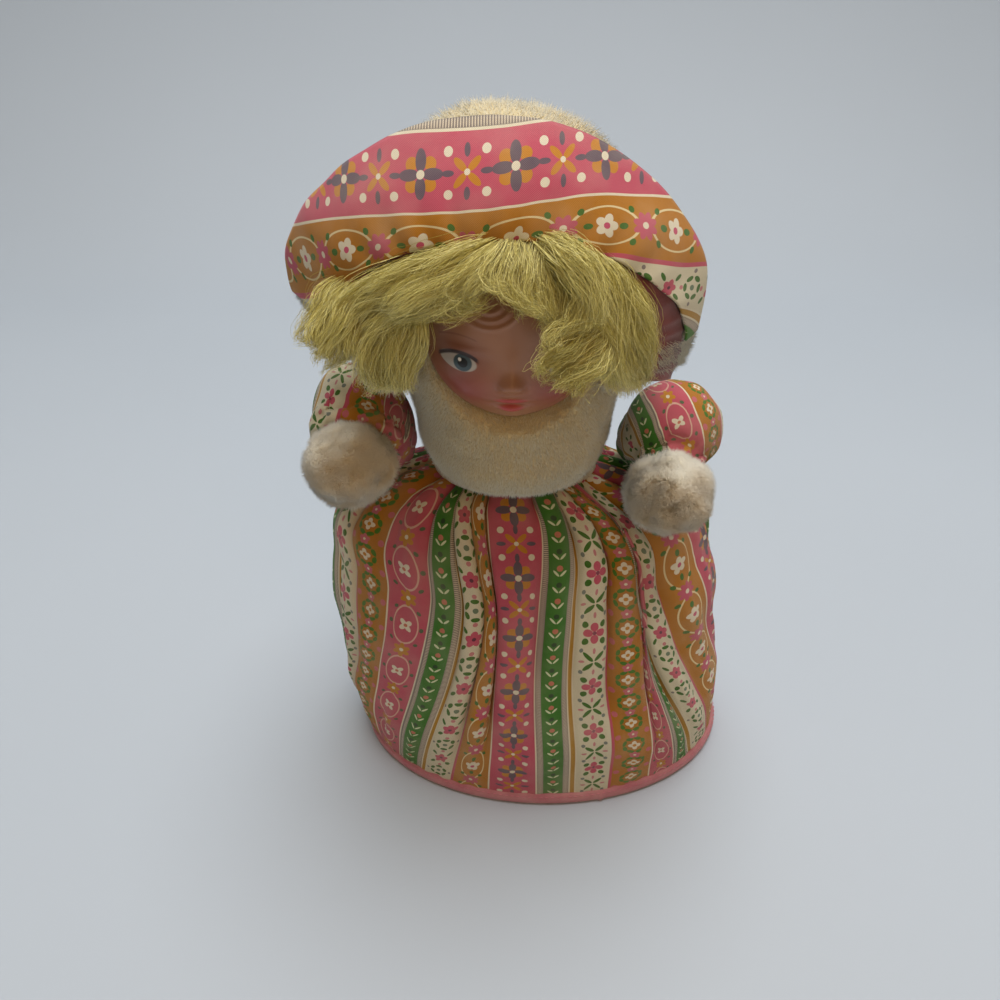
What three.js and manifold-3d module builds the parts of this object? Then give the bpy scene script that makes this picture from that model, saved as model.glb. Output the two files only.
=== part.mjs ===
// A stuffed cloth doll: a wide printed skirt on a flat oval base, two short arms with plush mitts,
// a plush head with a moulded face and curls, and a plush hat with a printed brim turned up.
// Millimetres, +Z up. The doll faces -Y and stands on Z = 0, with its origin at the middle of its base.
// It leans a little towards -X, as a soft doll does.

import * as THREE from "three";
import { mergeVertices } from "three/addons/utils/BufferGeometryUtils.js";
import Module from "manifold-3d";

const wasm = await Module();
wasm.setup();

// Cloth, plush and clearances
const COTTON = 1.2; // printed cotton with its seam allowance
const PLUSH = 2.4; // plush backing with its pile pressed flat
const GAP = 0.3; // between pieces that touch
const SLACK = 0.6; // between a skin and the stuffing in it

// Flat base
const BASE_HALF_WIDTH = 98;
const BASE_HALF_DEPTH = 63;
const COVER_THICKNESS = 1.2;
const BOARD_THICKNESS = 2;
const BOARD_MARGIN = 3; // the board is this much smaller than the cover all round
const HEM_BAND_HEIGHT = 7;
const HEM_BAND_THICKNESS = 2.2;
const HEM_LIFT = 0.4; // the skirt and its band end this far above the table

// Skirt, from its hem to its gathered neck
const NECK_HEIGHT = 170;
const NECK_X = -17; // how far the doll leans by its neck
const NECK_HALF_WIDTH = 35;
const NECK_HALF_DEPTH = 27;
const NECK_CORD_THICKNESS = 1.6;
const NECK_CORD_HEIGHT = 1.4;
const BODY_ROWS = [
  { z: 0, wide: BASE_HALF_WIDTH, deep: BASE_HALF_DEPTH, x: 0 },
  { z: 36, wide: BASE_HALF_WIDTH + 3.5, deep: BASE_HALF_DEPTH + 3.5, x: NECK_X + 13 },
  { z: 84, wide: BASE_HALF_WIDTH - 0.5, deep: BASE_HALF_DEPTH + 1, x: NECK_X + 7 },
  { z: NECK_HEIGHT - 45, wide: BASE_HALF_WIDTH - 6, deep: BASE_HALF_DEPTH - 7, x: NECK_X + 4 },
  { z: NECK_HEIGHT - 22, wide: BASE_HALF_WIDTH - 14, deep: BASE_HALF_DEPTH - 16, x: NECK_X + 2 },
  { z: NECK_HEIGHT - 10, wide: BASE_HALF_WIDTH - 32, deep: BASE_HALF_DEPTH - 24, x: NECK_X + 1 },
  { z: NECK_HEIGHT - 3, wide: NECK_HALF_WIDTH + 12, deep: NECK_HALF_DEPTH + 5, x: NECK_X },
  { z: NECK_HEIGHT, wide: NECK_HALF_WIDTH, deep: NECK_HALF_DEPTH, x: NECK_X },
];

// Gathers: the skirt is a straight strip of printed cloth, so its folds run along its stripes. A line
// along the cloth is named by its place across the strip, in millimetres. Each row says where such a
// line lies round the body at the neck and at the hem, and how far it bows aside between, in degrees.
const CLOTH_LINES = [
  { across: -171, neck: 90, hem: 90, bow: 0 },
  { across: -42, neck: 135, hem: 167, bow: 38 },
  { across: 0, neck: 160, hem: 188, bow: 45 },
  { across: 18.4, neck: 198, hem: 204, bow: 28 },
  { across: 39, neck: 222, hem: 217, bow: 23 },
  { across: 54.6, neck: 227, hem: 227, bow: 25 },
  { across: 77, neck: 238, hem: 239, bow: 21 },
  { across: 97.8, neck: 250, hem: 252, bow: 12 },
  { across: 120, neck: 283, hem: 267, bow: -5 },
  { across: 136.5, neck: 296, hem: 277, bow: -8 },
  { across: 161, neck: 305, hem: 290, bow: -6 },
  { across: 179.4, neck: 311, hem: 304, bow: -5 },
  { across: 215.6, neck: 322, hem: 325, bow: -20 },
  { across: 238, neck: 328, hem: 341, bow: -20 },
  { across: 258.8, neck: 345, hem: 362, bow: -16 },
  { across: 281, neck: 365, hem: 384, bow: -16 },
  { across: 420, neck: 450, hem: 450, bow: 0 },
];
const VALLEYS = [ // the lines at the bottom of the folds, from the seam at the back
  -171, -150, -128, -107, -85, -64, -43, -21, -2, 20, 37, 57, 75, 94,
  120, 138, 160, 183, 212, 239, 259, 281, 302, 324, 345, 366, 388, 408,
];
const FOLD_GROWTH = 0.42; // depth of a fold for each millimetre of cloth that it takes up
const FLAT_CLOTH = 1.08; // cloth this much wider than its place lies flat
const FOLD_LIMIT = 4; // greatest depth of a fold
const FOLD_FOOT = [18, 60]; // the folds flatten from the upper of these heights to the lower
const STEEPEST_FOLD = 0.35; // greatest depth of a fold for its width
const RIDGE_SHARE = 0.3; // how much of a fold's depth stands out from the body
const CHORD_ROOM = 0.3; // the skirt's flat faces cut across its curves by less than this

// Neck knob, a ball of stuffing that the head nods on. The head is measured from its centre.
const KNOB_RADIUS = 22;
const KNOB_RISE = 6;
const KNOB_PLAY = 0.5; // the head's socket is this much wider all round
const KNOB_Y = -4;
const KNOB_CENTRE = new THREE.Vector3(NECK_X, KNOB_Y, NECK_HEIGHT + KNOB_RISE);

// Head
const HEAD_HALF_WIDTH = 50;
const HEAD_Y = -2;
const HEAD_ROWS = [
  { z: 0, wide: 23, front: 25, back: 20, x: 0 },
  { z: 4, wide: 33, front: 38, back: 30, x: -0.2 },
  { z: 12, wide: 38.5, front: 46, back: 38, x: -0.5 },
  { z: 29, wide: 41.5, front: 50, back: 44, x: -1 },
  { z: 54, wide: HEAD_HALF_WIDTH - 4, front: 49, back: 47, x: -2 },
  { z: 79, wide: HEAD_HALF_WIDTH, front: 46, back: 48, x: -3 },
  { z: 104, wide: HEAD_HALF_WIDTH - 3, front: 42, back: 44, x: -4 },
  { z: 124, wide: 35, front: 31, back: 33, x: -5 },
  { z: 134, wide: 20, front: 18, back: 19, x: -5 },
  { z: 137, wide: 8, front: 7, back: 8, x: -5 },
];

// Moulded face, a thin vinyl mask sunk into the head
const FACE_CENTRE = new THREE.Vector3(-2, -62, 76);
const FACE_HALF_WIDTH = 33;
const FACE_HALF_HEIGHT = 35;
const FACE_DEPTH = 26;
const FACE_WALL = 1.2;
const FACE_RIM_ROOM = PLUSH + SLACK; // the hole for the mask goes this far behind its rim
const NOSE = { x: -1.5, z: -12, wide: 4.5, high: 6, out: 6 };
const CHEEK = { x: 16, z: -14, wide: 9, high: 9, out: 3 };
const EYE_SOCKET = { x: 15, z: -2, wide: 8, high: 5, out: -2 };
const MOUTH = { x: 0, z: -20, wide: 9, high: 4, out: 3 };

// Hat crown, in upright rings from its back to its front edge
const HAT_CENTRE = new THREE.Vector3(-5, 4, 74);
const CROWN_THICKNESS = 5;
const CROWN_ROWS = [
  { y: 51, wide: 14, high: 16 },
  { y: 47, wide: 31, high: 35 },
  { y: 34, wide: 48, high: 54 },
  { y: 12, wide: HEAD_HALF_WIDTH + 8, high: 66 },
  { y: -12, wide: HEAD_HALF_WIDTH + 10, high: 69 },
  { y: -36, wide: HEAD_HALF_WIDTH + 7, high: 63 },
  { y: -54, wide: 52, high: 53 },
  { y: -62, wide: 48, high: 47 },
];
const CROWN_OPEN_FROM = -18; // in front of this the crown is a sleeve round the hair
const CROWN_EDGE_FRONT = 62; // height of its lower edge at the face
const CROWN_EDGE_BACK = 38; // and at the nape

// Hat brim: sections by their angle round the face, 0 at the doll's left (+X), 90 at the top
const BRIM_CENTRE = new THREE.Vector3(-8, 4, 74);
const BRIM_PLUSH = 5;
const BRIM_BOW = 4; // how far the middle of the brim bulges forward
const BRIM_LIP = 1.5; // the plush shows this far past the print at the outer edge
const BRIM_ROWS = [
  { turn: -10, inner: 50, innerY: -58, outer: 68, outerY: -46 },
  { turn: 20, inner: 51, innerY: -66, outer: 73, outerY: -46 },
  { turn: 55, inner: 48, innerY: -67, outer: 69, outerY: -42 },
  { turn: 90, inner: 46, innerY: -68, outer: 68, outerY: -44 },
  { turn: 125, inner: 48, innerY: -67, outer: 71, outerY: -42 },
  { turn: 150, inner: 51, innerY: -60, outer: 76, outerY: -34 },
  { turn: 172, inner: 54, innerY: -44, outer: 78, outerY: -19 },
  { turn: 188, inner: 57, innerY: -28, outer: 75, outerY: -8 },
];

// Curls: centre and half sizes. The doll's right is at -X.
const HAIR = [
  { name: "hair_fringe", x: -13, y: -58, z: 108, wide: 30, deep: 11, high: 13 },
  { name: "hair_right_side", x: -49, y: -46, z: 85, wide: 24, deep: 17, high: 29 },
  { name: "hair_left_side", x: 31, y: -52, z: 81, wide: 19, deep: 17, high: 30 },
  { name: "hair_front_curl", x: 12, y: -69, z: 97, wide: 17, deep: 10, high: 17 },
];

// Arms: a puffed sleeve that widens upwards from its shoulder seam, with a mitt on its front.
// The puff and the mitt are placed from the middle of the shoulder's ball.
const SHOULDER_DROP = 6; // below the neck
const SHOULDER_RADIUS = 17;
const PUFF_RADIUS = 24;
const MITT = { wide: 16.5, deep: 17, high: 14.5 };
const ARMS = [
  { side: "right", turn: 180, puff: [-5.5, -10, 20], mitt: [-5.5, -41, 13] },
  { side: "left", turn: 0, puff: [6.5, -10, 13], mitt: [0.5, -41, -1] },
];

// How finely the forms are cut
const STUFFING_COLUMNS = 24;
const BODY_STEP = 28; // greatest height of one band of faces
const HEAD_COLUMNS = 22;
const HEAD_STEP = 25;
const KNOB_COLUMNS = 24;
const TUFT_COLUMNS = 16;
const ARM_COLUMNS = 14;
const ARM_RINGS = 4; // from the widest ring of each end of a sleeve to its tip
const FACE_COLUMNS = 20;
const FACE_RINGS = 8;
const BRIM_STEPS = 24;
const BRIM_BANDS = 4;
const SAME_POINT = 1e-4; // points nearer than this are one

const COLOURS = {
  print: { color: 0xd98a54, roughness: 0.9 },
  pink: { color: 0xd8839a, roughness: 0.9 },
  lining: { color: 0xb3475f, roughness: 0.9 },
  plush: { color: 0xe6dcc0, roughness: 1 },
  hair: { color: 0xd6d488, roughness: 0.7 },
  vinyl: { color: 0xc98f72, roughness: 0.5 },
  board: { color: 0xa98b62, roughness: 0.95 },
  stuffing: { color: 0xf2f0ea, roughness: 1 },
  cord: { color: 0xd9cdb4, roughness: 0.9 },
};

// A function that gives the smooth values of a table's fields at any place along its first field.
function smoothTable(rows, key) {
  const fields = Object.keys(rows[0]).filter((field) => field !== key);
  const values = rows.flatMap((row) => fields.map((field) => row[field]));
  const table = new THREE.CubicInterpolant(
    rows.map((row) => row[key]), values, fields.length, new Float32Array(fields.length),
  );
  return (place) => {
    const found = table.evaluate(place);
    return Object.fromEntries(fields.map((field, i) => [field, found[i]]));
  };
}

// The table's own places, with the wide gaps between them split evenly.
function splitPlaces(rows, key, largest) {
  const places = rows.map((row) => row[key]);
  return places.flatMap((place, i) => {
    const before = i ? places[i - 1] : place;
    const parts = Math.max(1, Math.ceil((place - before) / largest));
    return i ? steps(parts, (k) => THREE.MathUtils.lerp(before, place, (k + 1) / parts)) : [place];
  });
}

const steps = (count, make) => Array.from({ length: count }, (_, i) => make(i));

const middleOf = (row) =>
  row.reduce((sum, point) => sum.add(point), new THREE.Vector3()).divideScalar(row.length);

// A grid is a list of rows of points. Its outward normals come from its neighbours, and the normal
// of a pole, where a row is a single point, from the row beside it.
function normalsOf(grid, wrap) {
  const last = grid.length - 1;
  const normals = grid.map((row, i) => row.map((_, j) => {
    const width = row.length;
    const before = wrap ? (j + width - 1) % width : Math.max(j - 1, 0);
    const after = wrap ? (j + 1) % width : Math.min(j + 1, width - 1);
    const along = row[after].clone().sub(row[before]);
    const across = grid[Math.min(i + 1, last)][j].clone().sub(grid[Math.max(i - 1, 0)][j]);
    return along.cross(across).normalize();
  }));
  return normals.map((row, i) => {
    if (row[0].length() > 0) return row;
    const pole = middleOf(normals[i ? i - 1 : 1]).normalize();
    return row.map(() => pole);
  });
}

// The grid moved outwards by a distance, which may differ from row to row.
function pushed(grid, distance, wrap = true) {
  const normals = normalsOf(grid, wrap);
  const reach = typeof distance === "function" ? distance : () => distance;
  return grid.map((row, i) =>
    row.map((point, j) => point.clone().addScaledVector(normals[i][j], reach(i))));
}

// Two triangles for each square of a grid, turned over on request.
function gridFaces(rows, columns, wrap, at, turned) {
  const faces = [];
  for (let i = 0; i + 1 < rows; i++) {
    for (let j = 0; j < (wrap ? columns : columns - 1); j++) {
      const next = (j + 1) % columns;
      const corners = [at(i, j), at(i, next), at(i + 1, next), at(i + 1, j)];
      if (turned) corners.reverse();
      const [a, b, c, d] = corners;
      faces.push([a, b, c], [a, c, d]);
    }
  }
  return faces;
}

// A closed body from points and triangles, with doubled points merged and empty triangles dropped.
function bodyOf(points, faces) {
  const geometry = new THREE.BufferGeometry().setFromPoints(points);
  geometry.setIndex(faces.flat());
  const merged = mergeVertices(geometry, SAME_POINT);
  const kept = [];
  for (let i = 0; i < merged.index.count; i += 3) {
    const [a, b, c] = [0, 1, 2].map((k) => merged.index.getX(i + k));
    if (a !== b && b !== c && c !== a) kept.push(a, b, c);
  }
  return new wasm.Manifold(new wasm.Mesh({
    numProp: 3,
    vertProperties: merged.attributes.position.array,
    triVerts: new Uint32Array(kept),
  }));
}

// A solid inside a tube-like grid, closed at both ends.
function filled(grid) {
  const ends = [grid[0], grid[grid.length - 1]].map((row) => row.map(() => middleOf(row)));
  const rows = [ends[0], ...grid, ends[1]];
  const columns = grid[0].length;
  return bodyOf(rows.flat(), gridFaces(rows.length, columns, true, (i, j) => i * columns + j, false));
}

// A shell between an outer and an inner grid, joined along their open edges.
function shell(outer, inner, wrap = true) {
  const rows = outer.length;
  const columns = outer[0].length;
  const outside = (i, j) => i * columns + j;
  const inside = (i, j) => rows * columns + i * columns + j;
  const faces = [
    ...gridFaces(rows, columns, wrap, outside, false),
    ...gridFaces(rows, columns, wrap, inside, true),
    ...gridFaces(2, columns, wrap, (i, j) => (i ? outside(0, j) : inside(0, j)), false),
    ...gridFaces(2, columns, wrap, (i, j) => (i ? inside(rows - 1, j) : outside(rows - 1, j)), false),
  ];
  if (!wrap) {
    const end = columns - 1;
    faces.push(
      ...gridFaces(rows, 2, false, (i, j) => (j ? outside(i, 0) : inside(i, 0)), false),
      ...gridFaces(rows, 2, false, (i, j) => (j ? inside(i, end) : outside(i, end)), false),
    );
  }
  return bodyOf([...outer.flat(), ...inner.flat()], faces);
}

// What is left of a body after cutters are taken away: its largest piece.
function cutBy(body, ...cutters) {
  const rest = cutters.reduce((left, cutter) => left.subtract(cutter), body);
  return rest.decompose().sort((a, b) => b.volume() - a.volume())[0];
}

function meshOf(name, body, look) {
  const { vertProperties, triVerts } = body.getMesh();
  const geometry = new THREE.BufferGeometry();
  geometry.setAttribute("position", new THREE.BufferAttribute(vertProperties, 3));
  geometry.setIndex(new THREE.BufferAttribute(triVerts, 1));
  geometry.computeVertexNormals();
  const mesh = new THREE.Mesh(geometry, new THREE.MeshStandardMaterial(COLOURS[look]));
  mesh.name = name;
  return mesh;
}

function ball(centre, radius, columns) {
  const rings = columns / 2;
  const grid = steps(rings - 1, (i) => {
    const tilt = Math.PI * ((i + 1) / rings - 0.5);
    return steps(columns, (j) => {
      const turn = (2 * Math.PI * j) / columns;
      const flat = radius * Math.cos(tilt);
      const high = radius * Math.sin(tilt);
      return new THREE.Vector3(flat * Math.cos(turn), flat * Math.sin(turn), high).add(centre);
    });
  });
  const pole = (side) => steps(columns, () => new THREE.Vector3(0, 0, side * radius).add(centre));
  return filled([pole(-1), ...grid, pole(1)]);
}

const unitBall = ball(new THREE.Vector3(), 1, TUFT_COLUMNS);

// The body's outer surface
const bodyAt = smoothTable(BODY_ROWS, "z");

function bodyPoint(z, turn, fold = 0) {
  const { wide, deep, x } = bodyAt(z);
  return new THREE.Vector3(x + (wide + fold) * Math.cos(turn), (deep + fold) * Math.sin(turn), z);
}

// Where a line along the cloth lies round the body at a height, in radians.
function turnOf(across, z) {
  const down = THREE.MathUtils.clamp((NECK_HEIGHT - z) / NECK_HEIGHT, 0, 1);
  const aside = Math.sin(Math.PI * Math.sqrt(down));
  const next = Math.max(1, CLOTH_LINES.findIndex((line) => line.across >= across));
  const pair = [CLOTH_LINES[next - 1], CLOTH_LINES[next]];
  const [from, to] = pair.map(({ neck, hem, bow }) => THREE.MathUtils.lerp(neck, hem, down) + bow * aside);
  const share = (across - pair[0].across) / (pair[1].across - pair[0].across);
  return THREE.MathUtils.degToRad(THREE.MathUtils.lerp(from, to, share));
}

// Every other column is a valley, and the ones between them are the tops of the ridges.
const seam = CLOTH_LINES[CLOTH_LINES.length - 1].across;
const skirtLines = VALLEYS.flatMap((line, k) => [line, (line + (VALLEYS[k + 1] ?? seam)) / 2]);
const clothGrid = (levels, foldAt = () => 0) =>
  levels.map((z) => skirtLines.map((line, j) => bodyPoint(z, turnOf(line, z), foldAt(z, j))));

// The spare cloth between two valleys decides how deep their fold is.
function foldDepth(z, valley) {
  const [left, right] = [VALLEYS[valley], VALLEYS[valley + 1] ?? seam];
  const room = bodyPoint(z, turnOf(left, z)).distanceTo(bodyPoint(z, turnOf(right, z)));
  const spare = Math.sqrt(Math.max((right - left) ** 2 - (FLAT_CLOTH * room) ** 2, 0));
  const rise = THREE.MathUtils.smoothstep(z, ...FOLD_FOOT);
  return Math.min(FOLD_GROWTH * spare, STEEPEST_FOLD * room, FOLD_LIMIT) * rise;
}

const deepestFold = (z) => Math.max(...VALLEYS.map((_, valley) => foldDepth(z, valley)));

function skirtFold(z, j) {
  const valley = Math.floor(j / 2);
  if (j % 2) return RIDGE_SHARE * foldDepth(z, valley);
  const before = (valley + VALLEYS.length - 1) % VALLEYS.length;
  return (RIDGE_SHARE - 1) * (foldDepth(z, valley) + foldDepth(z, before)) / 2;
}

const hemLevels = [HEM_LIFT, HEM_LIFT + HEM_BAND_HEIGHT];
const skirtLevels = [...hemLevels, ...splitPlaces(BODY_ROWS, "z", BODY_STEP).slice(1)];
const skirtGrid = clothGrid(skirtLevels, skirtFold);

function makeSkirt() {
  return meshOf("skirt", shell(skirtGrid, pushed(skirtGrid, -COTTON)), "print");
}

function ovalPlate(margin, bottom, thickness) {
  const outline = (z) => skirtLines.map((line) => {
    const turn = turnOf(line, 0);
    return new THREE.Vector3(
      (BASE_HALF_WIDTH - margin) * Math.cos(turn), (BASE_HALF_DEPTH - margin) * Math.sin(turn), z);
  });
  return filled([outline(bottom), outline(bottom + thickness)]);
}

const baseMargin = COTTON + GAP;
const boardBottom = COVER_THICKNESS + GAP;
const stuffingBottom = boardBottom + BOARD_THICKNESS + GAP;

function makeBase() {
  return [
    meshOf("base_cover", ovalPlate(baseMargin, 0, COVER_THICKNESS), "pink"),
    meshOf("base_board", ovalPlate(baseMargin + BOARD_MARGIN, boardBottom, BOARD_THICKNESS), "board"),
  ];
}

function makeHemBand() {
  const surface = clothGrid(hemLevels);
  return meshOf("hem_band", shell(pushed(surface, GAP + HEM_BAND_THICKNESS), pushed(surface, GAP)), "pink");
}

function makeNeckCord() {
  const top = NECK_HEIGHT - GAP;
  const surface = clothGrid([top - NECK_CORD_HEIGHT, top], (z) => RIDGE_SHARE * deepestFold(z));
  const cord = shell(pushed(surface, GAP + NECK_CORD_THICKNESS), pushed(surface, GAP));
  return meshOf("neck_cord", cord, "cord");
}

// Stuffing: it fills the skirt as far as the bottom of its folds, and ends in the neck knob.
function makeBodyStuffing() {
  const levels = skirtLevels.map((z) => THREE.MathUtils.clamp(z, stuffingBottom, NECK_HEIGHT - COTTON));
  const inset = (i) => -(COTTON + SLACK + CHORD_ROOM + (1 - RIDGE_SHARE) * deepestFold(levels[i]));
  const rings = levels.map((z) =>
    steps(STUFFING_COLUMNS, (j) => bodyPoint(z, (2 * Math.PI * j) / STUFFING_COLUMNS)));
  const floor = ovalPlate(-BASE_HALF_WIDTH, -BASE_HALF_WIDTH, BASE_HALF_WIDTH + stuffingBottom);
  const core = filled(pushed(rings, inset)).add(ball(KNOB_CENTRE, KNOB_RADIUS, KNOB_COLUMNS));
  return meshOf("body_stuffing", core.subtract(floor), "stuffing");
}

// The head's outer surface
const headAt = smoothTable(HEAD_ROWS, "z");
const headGrid = splitPlaces(HEAD_ROWS, "z", HEAD_STEP).map((z) => {
  const { wide, front, back, x } = headAt(z);
  return steps(HEAD_COLUMNS, (j) => {
    const turn = (2 * Math.PI * j) / HEAD_COLUMNS;
    const deep = Math.sin(turn) < 0 ? front : back;
    return new THREE.Vector3(x + wide * Math.cos(turn), HEAD_Y + deep * Math.sin(turn), z);
  });
});
const headBulk = filled(pushed(headGrid, GAP));
const knobRoom = ball(new THREE.Vector3(), KNOB_RADIUS + KNOB_PLAY, KNOB_COLUMNS);

// The mask's outer surface: an oval dome with a nose, cheeks, eye hollows and a mouth.
const swell = (form, x, z) =>
  form.out * Math.exp(-(((x - form.x) / form.wide) ** 2) - ((z - form.z) / form.high) ** 2);

function facePoint(ring, column) {
  const share = Math.sin((Math.PI / 2) * (1 - ring / FACE_RINGS));
  const turn = (2 * Math.PI * column) / FACE_COLUMNS;
  const x = FACE_HALF_WIDTH * share * Math.cos(turn);
  const z = FACE_HALF_HEIGHT * share * Math.sin(turn);
  const dome = FACE_DEPTH * (1 - Math.sqrt(1 - share ** 2));
  const features = swell(NOSE, x, z) + swell(MOUTH, x, z) +
    swell(CHEEK, Math.abs(x), z) + swell(EYE_SOCKET, Math.abs(x), z);
  return new THREE.Vector3(x, dome - features * (1 - share ** 2), z).add(FACE_CENTRE);
}

const faceGrid = steps(FACE_RINGS + 1, (ring) => steps(FACE_COLUMNS, (column) => facePoint(ring, column)));
const faceRoom = pushed(faceGrid, GAP);
const faceBulk = filled([faceRoom[0].map((p) => p.clone().setY(p.y + FACE_RIM_ROOM)), ...faceRoom]);

function makeHead() {
  const skin = shell(headGrid, pushed(headGrid, -PLUSH));
  const inner = filled(pushed(headGrid, -(PLUSH + SLACK)));
  const fillInset = FACE_WALL + 2 * SLACK;
  const faceFill = filled(pushed(faceGrid, -fillInset));
  const narrower = 1 - (2 * PLUSH) / FACE_HALF_WIDTH;
  const faceRoot = faceFill.translate(FACE_CENTRE.clone().negate().toArray())
    .scale([narrower, 1, narrower]).translate(FACE_CENTRE.toArray())
    .translate([0, fillInset + PLUSH, 0]);
  const stuffing = inner.subtract(faceBulk).add(faceFill).add(faceRoot);
  return [
    meshOf("head_plush", cutBy(skin, faceBulk, knobRoom), "plush"),
    meshOf("head_stuffing", cutBy(stuffing, knobRoom), "stuffing"),
    meshOf("face_mask", shell(faceGrid, pushed(faceGrid, -FACE_WALL)), "vinyl"),
  ];
}

// The hat's crown: a padded cap, hollow in front round the hair and closed over the back of the head.
const crownGrid = CROWN_ROWS.map(({ y, wide, high }) => steps(HEAD_COLUMNS, (j) => {
  const turn = (2 * Math.PI * j) / HEAD_COLUMNS;
  return new THREE.Vector3(wide * Math.cos(turn), y, high * Math.sin(turn)).add(HAT_CENTRE);
}));
const isFront = (row) => row[0].y < CROWN_OPEN_FROM;
const crownReach = CROWN_ROWS[0].y - CROWN_ROWS[CROWN_ROWS.length - 1].y;

// The space under the slanting lower edge of the hat, as a solid to take away.
function belowHat() {
  const wide = 2 * HEAD_HALF_WIDTH;
  const [front, back] = [crownGrid[crownGrid.length - 1][0].y - crownReach, crownGrid[0][0].y + crownReach];
  const slope = (CROWN_EDGE_BACK - CROWN_EDGE_FRONT) / crownReach;
  const edgeAt = (y) => CROWN_EDGE_BACK - slope * (back - crownReach - y);
  const profile = (x) => [
    new THREE.Vector3(x, front, -KNOB_RADIUS), new THREE.Vector3(x, back, -KNOB_RADIUS),
    new THREE.Vector3(x, back, edgeAt(back)), new THREE.Vector3(x, front, edgeAt(front)),
  ];
  return filled([profile(-wide), profile(wide)]);
}

// The inside of the crown's open front, let in by a distance.
const crownLining = (inset) => pushed(crownGrid, -(CROWN_THICKNESS + inset)).filter(isFront);

function crownHollow() {
  const inside = crownLining(0);
  const shifted = (row, by) => row.map((p) => p.clone().setY(p.y + by));
  return filled([
    shifted(inside[0], CROWN_THICKNESS), ...inside, shifted(inside[inside.length - 1], -CROWN_THICKNESS),
  ]);
}

const crown = cutBy(filled(crownGrid), headBulk, crownHollow(), belowHat());

// The brim's front surface, from its inner to its outer edge at each angle round the face.
const brimAt = smoothTable(BRIM_ROWS, "turn");
const brimTurns = [BRIM_ROWS[0].turn, BRIM_ROWS[BRIM_ROWS.length - 1].turn];

function brimPoint(share, across) {
  const degrees = THREE.MathUtils.lerp(...brimTurns, share);
  const { inner, innerY, outer, outerY } = brimAt(degrees);
  const reach = THREE.MathUtils.lerp(inner, outer, across);
  const bow = BRIM_BOW * 4 * across * (1 - across);
  const turn = THREE.MathUtils.degToRad(degrees);
  const y = THREE.MathUtils.lerp(innerY, outerY, across) - bow;
  return new THREE.Vector3(reach * Math.cos(turn), y, reach * Math.sin(turn)).add(BRIM_CENTRE);
}

const brimGrid = steps(BRIM_STEPS + 1, (i) =>
  steps(BRIM_BANDS + 1, (j) => brimPoint(i / BRIM_STEPS, j / BRIM_BANDS)));

// A grid let out past its first and last columns, and past its end rows.
function letOut(grid, first, last, ends) {
  const beyond = (from, to, by) => (by ? [to.clone().sub(from).setLength(by).add(to)] : []);
  const wider = grid.map((row) => [
    ...beyond(row[1], row[0], first), ...row, ...beyond(...row.slice(-2), last),
  ]);
  const past = (from, to) => (ends ? [from.map((p, j) => beyond(p, to[j], ends)[0])] : []);
  return [...past(wider[1], wider[0]), ...wider, ...past(...wider.slice(-2))];
}

// One layer of the brim, between two depths behind its front.
function brimLayer(from, to, outer, margin) {
  const at = (depth) => letOut(pushed(brimGrid, -depth, false), margin, outer + margin, margin);
  return shell(at(from), at(to), false);
}
const brimPlushFrom = COTTON + GAP;
const brimDepth = brimPlushFrom + BRIM_PLUSH;
const brimBulk = brimLayer(-GAP, brimDepth + GAP, BRIM_LIP, 2 * GAP);

function makeHat() {
  const lining = shell(crownLining(GAP), crownLining(GAP + COTTON));
  return [
    meshOf("hat_crown", cutBy(crown, brimBulk), "plush"),
    meshOf("brim_facing", cutBy(brimLayer(0, COTTON, 0, 0), headBulk), "print"),
    meshOf("brim_plush", cutBy(brimLayer(brimPlushFrom, brimDepth, BRIM_LIP, 0), headBulk), "plush"),
    meshOf("hat_lining", cutBy(lining, headBulk, brimBulk, belowHat()), "lining"),
  ];
}

// Curls: rounded tufts, each cut by the face, the head, the hat and the tufts before it.
const tuft = ({ x, y, z, wide, deep, high }, grow) =>
  unitBall.scale([wide + grow, deep + grow, high + grow]).translate([x, y, z]);

function makeHair() {
  const room = (inset) => letOut(crownLining(inset), 0, 0, 2 * GAP);
  const lining = shell(room(0), room(COTTON + 2 * GAP));
  const taken = [faceBulk, headBulk, crown, brimBulk, lining];
  return HAIR.map((lock) => {
    const body = cutBy(tuft(lock, 0), ...taken);
    taken.push(tuft(lock, GAP));
    return meshOf(lock.name, body, "hair");
  });
}

// A pear with a straight axis: a small ball and a large one, joined by a cone.
function pearGrid(from, to, fromRadius, toRadius) {
  const along = to.clone().sub(from).normalize();
  const side = new THREE.Vector3(1, 0, 0);
  side.addScaledVector(along, -side.dot(along)).normalize();
  const other = along.clone().cross(side);
  const ring = (centre, radius, tilt) => steps(ARM_COLUMNS, (j) => {
    const turn = (2 * Math.PI * j) / ARM_COLUMNS;
    return centre.clone().addScaledVector(along, radius * Math.sin(tilt))
      .addScaledVector(side, radius * Math.cos(tilt) * Math.cos(turn))
      .addScaledVector(other, radius * Math.cos(tilt) * Math.sin(turn));
  });
  const tilts = steps(ARM_RINGS + 1, (k) => ((Math.PI / 2) * k) / ARM_RINGS);
  return [
    ...tilts.toReversed().map((tilt) => ring(from, fromRadius, -tilt)),
    ...tilts.map((tilt) => ring(to, toRadius, tilt)),
  ];
}

// The middle of a shoulder's ball, which rests on the skirt at the shoulder's height.
function shoulderCentre(turn) {
  const z = NECK_HEIGHT - SHOULDER_DROP;
  const [aside, above] = [0.01, 0.5]; // a small turn and a small rise, to find the surface's slope
  const along = bodyPoint(z, turn + aside).sub(bodyPoint(z, turn - aside));
  const up = bodyPoint(z + above, turn).sub(bodyPoint(z - above, turn));
  return bodyPoint(z, turn).addScaledVector(along.cross(up).normalize(), SHOULDER_RADIUS + GAP);
}

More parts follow.
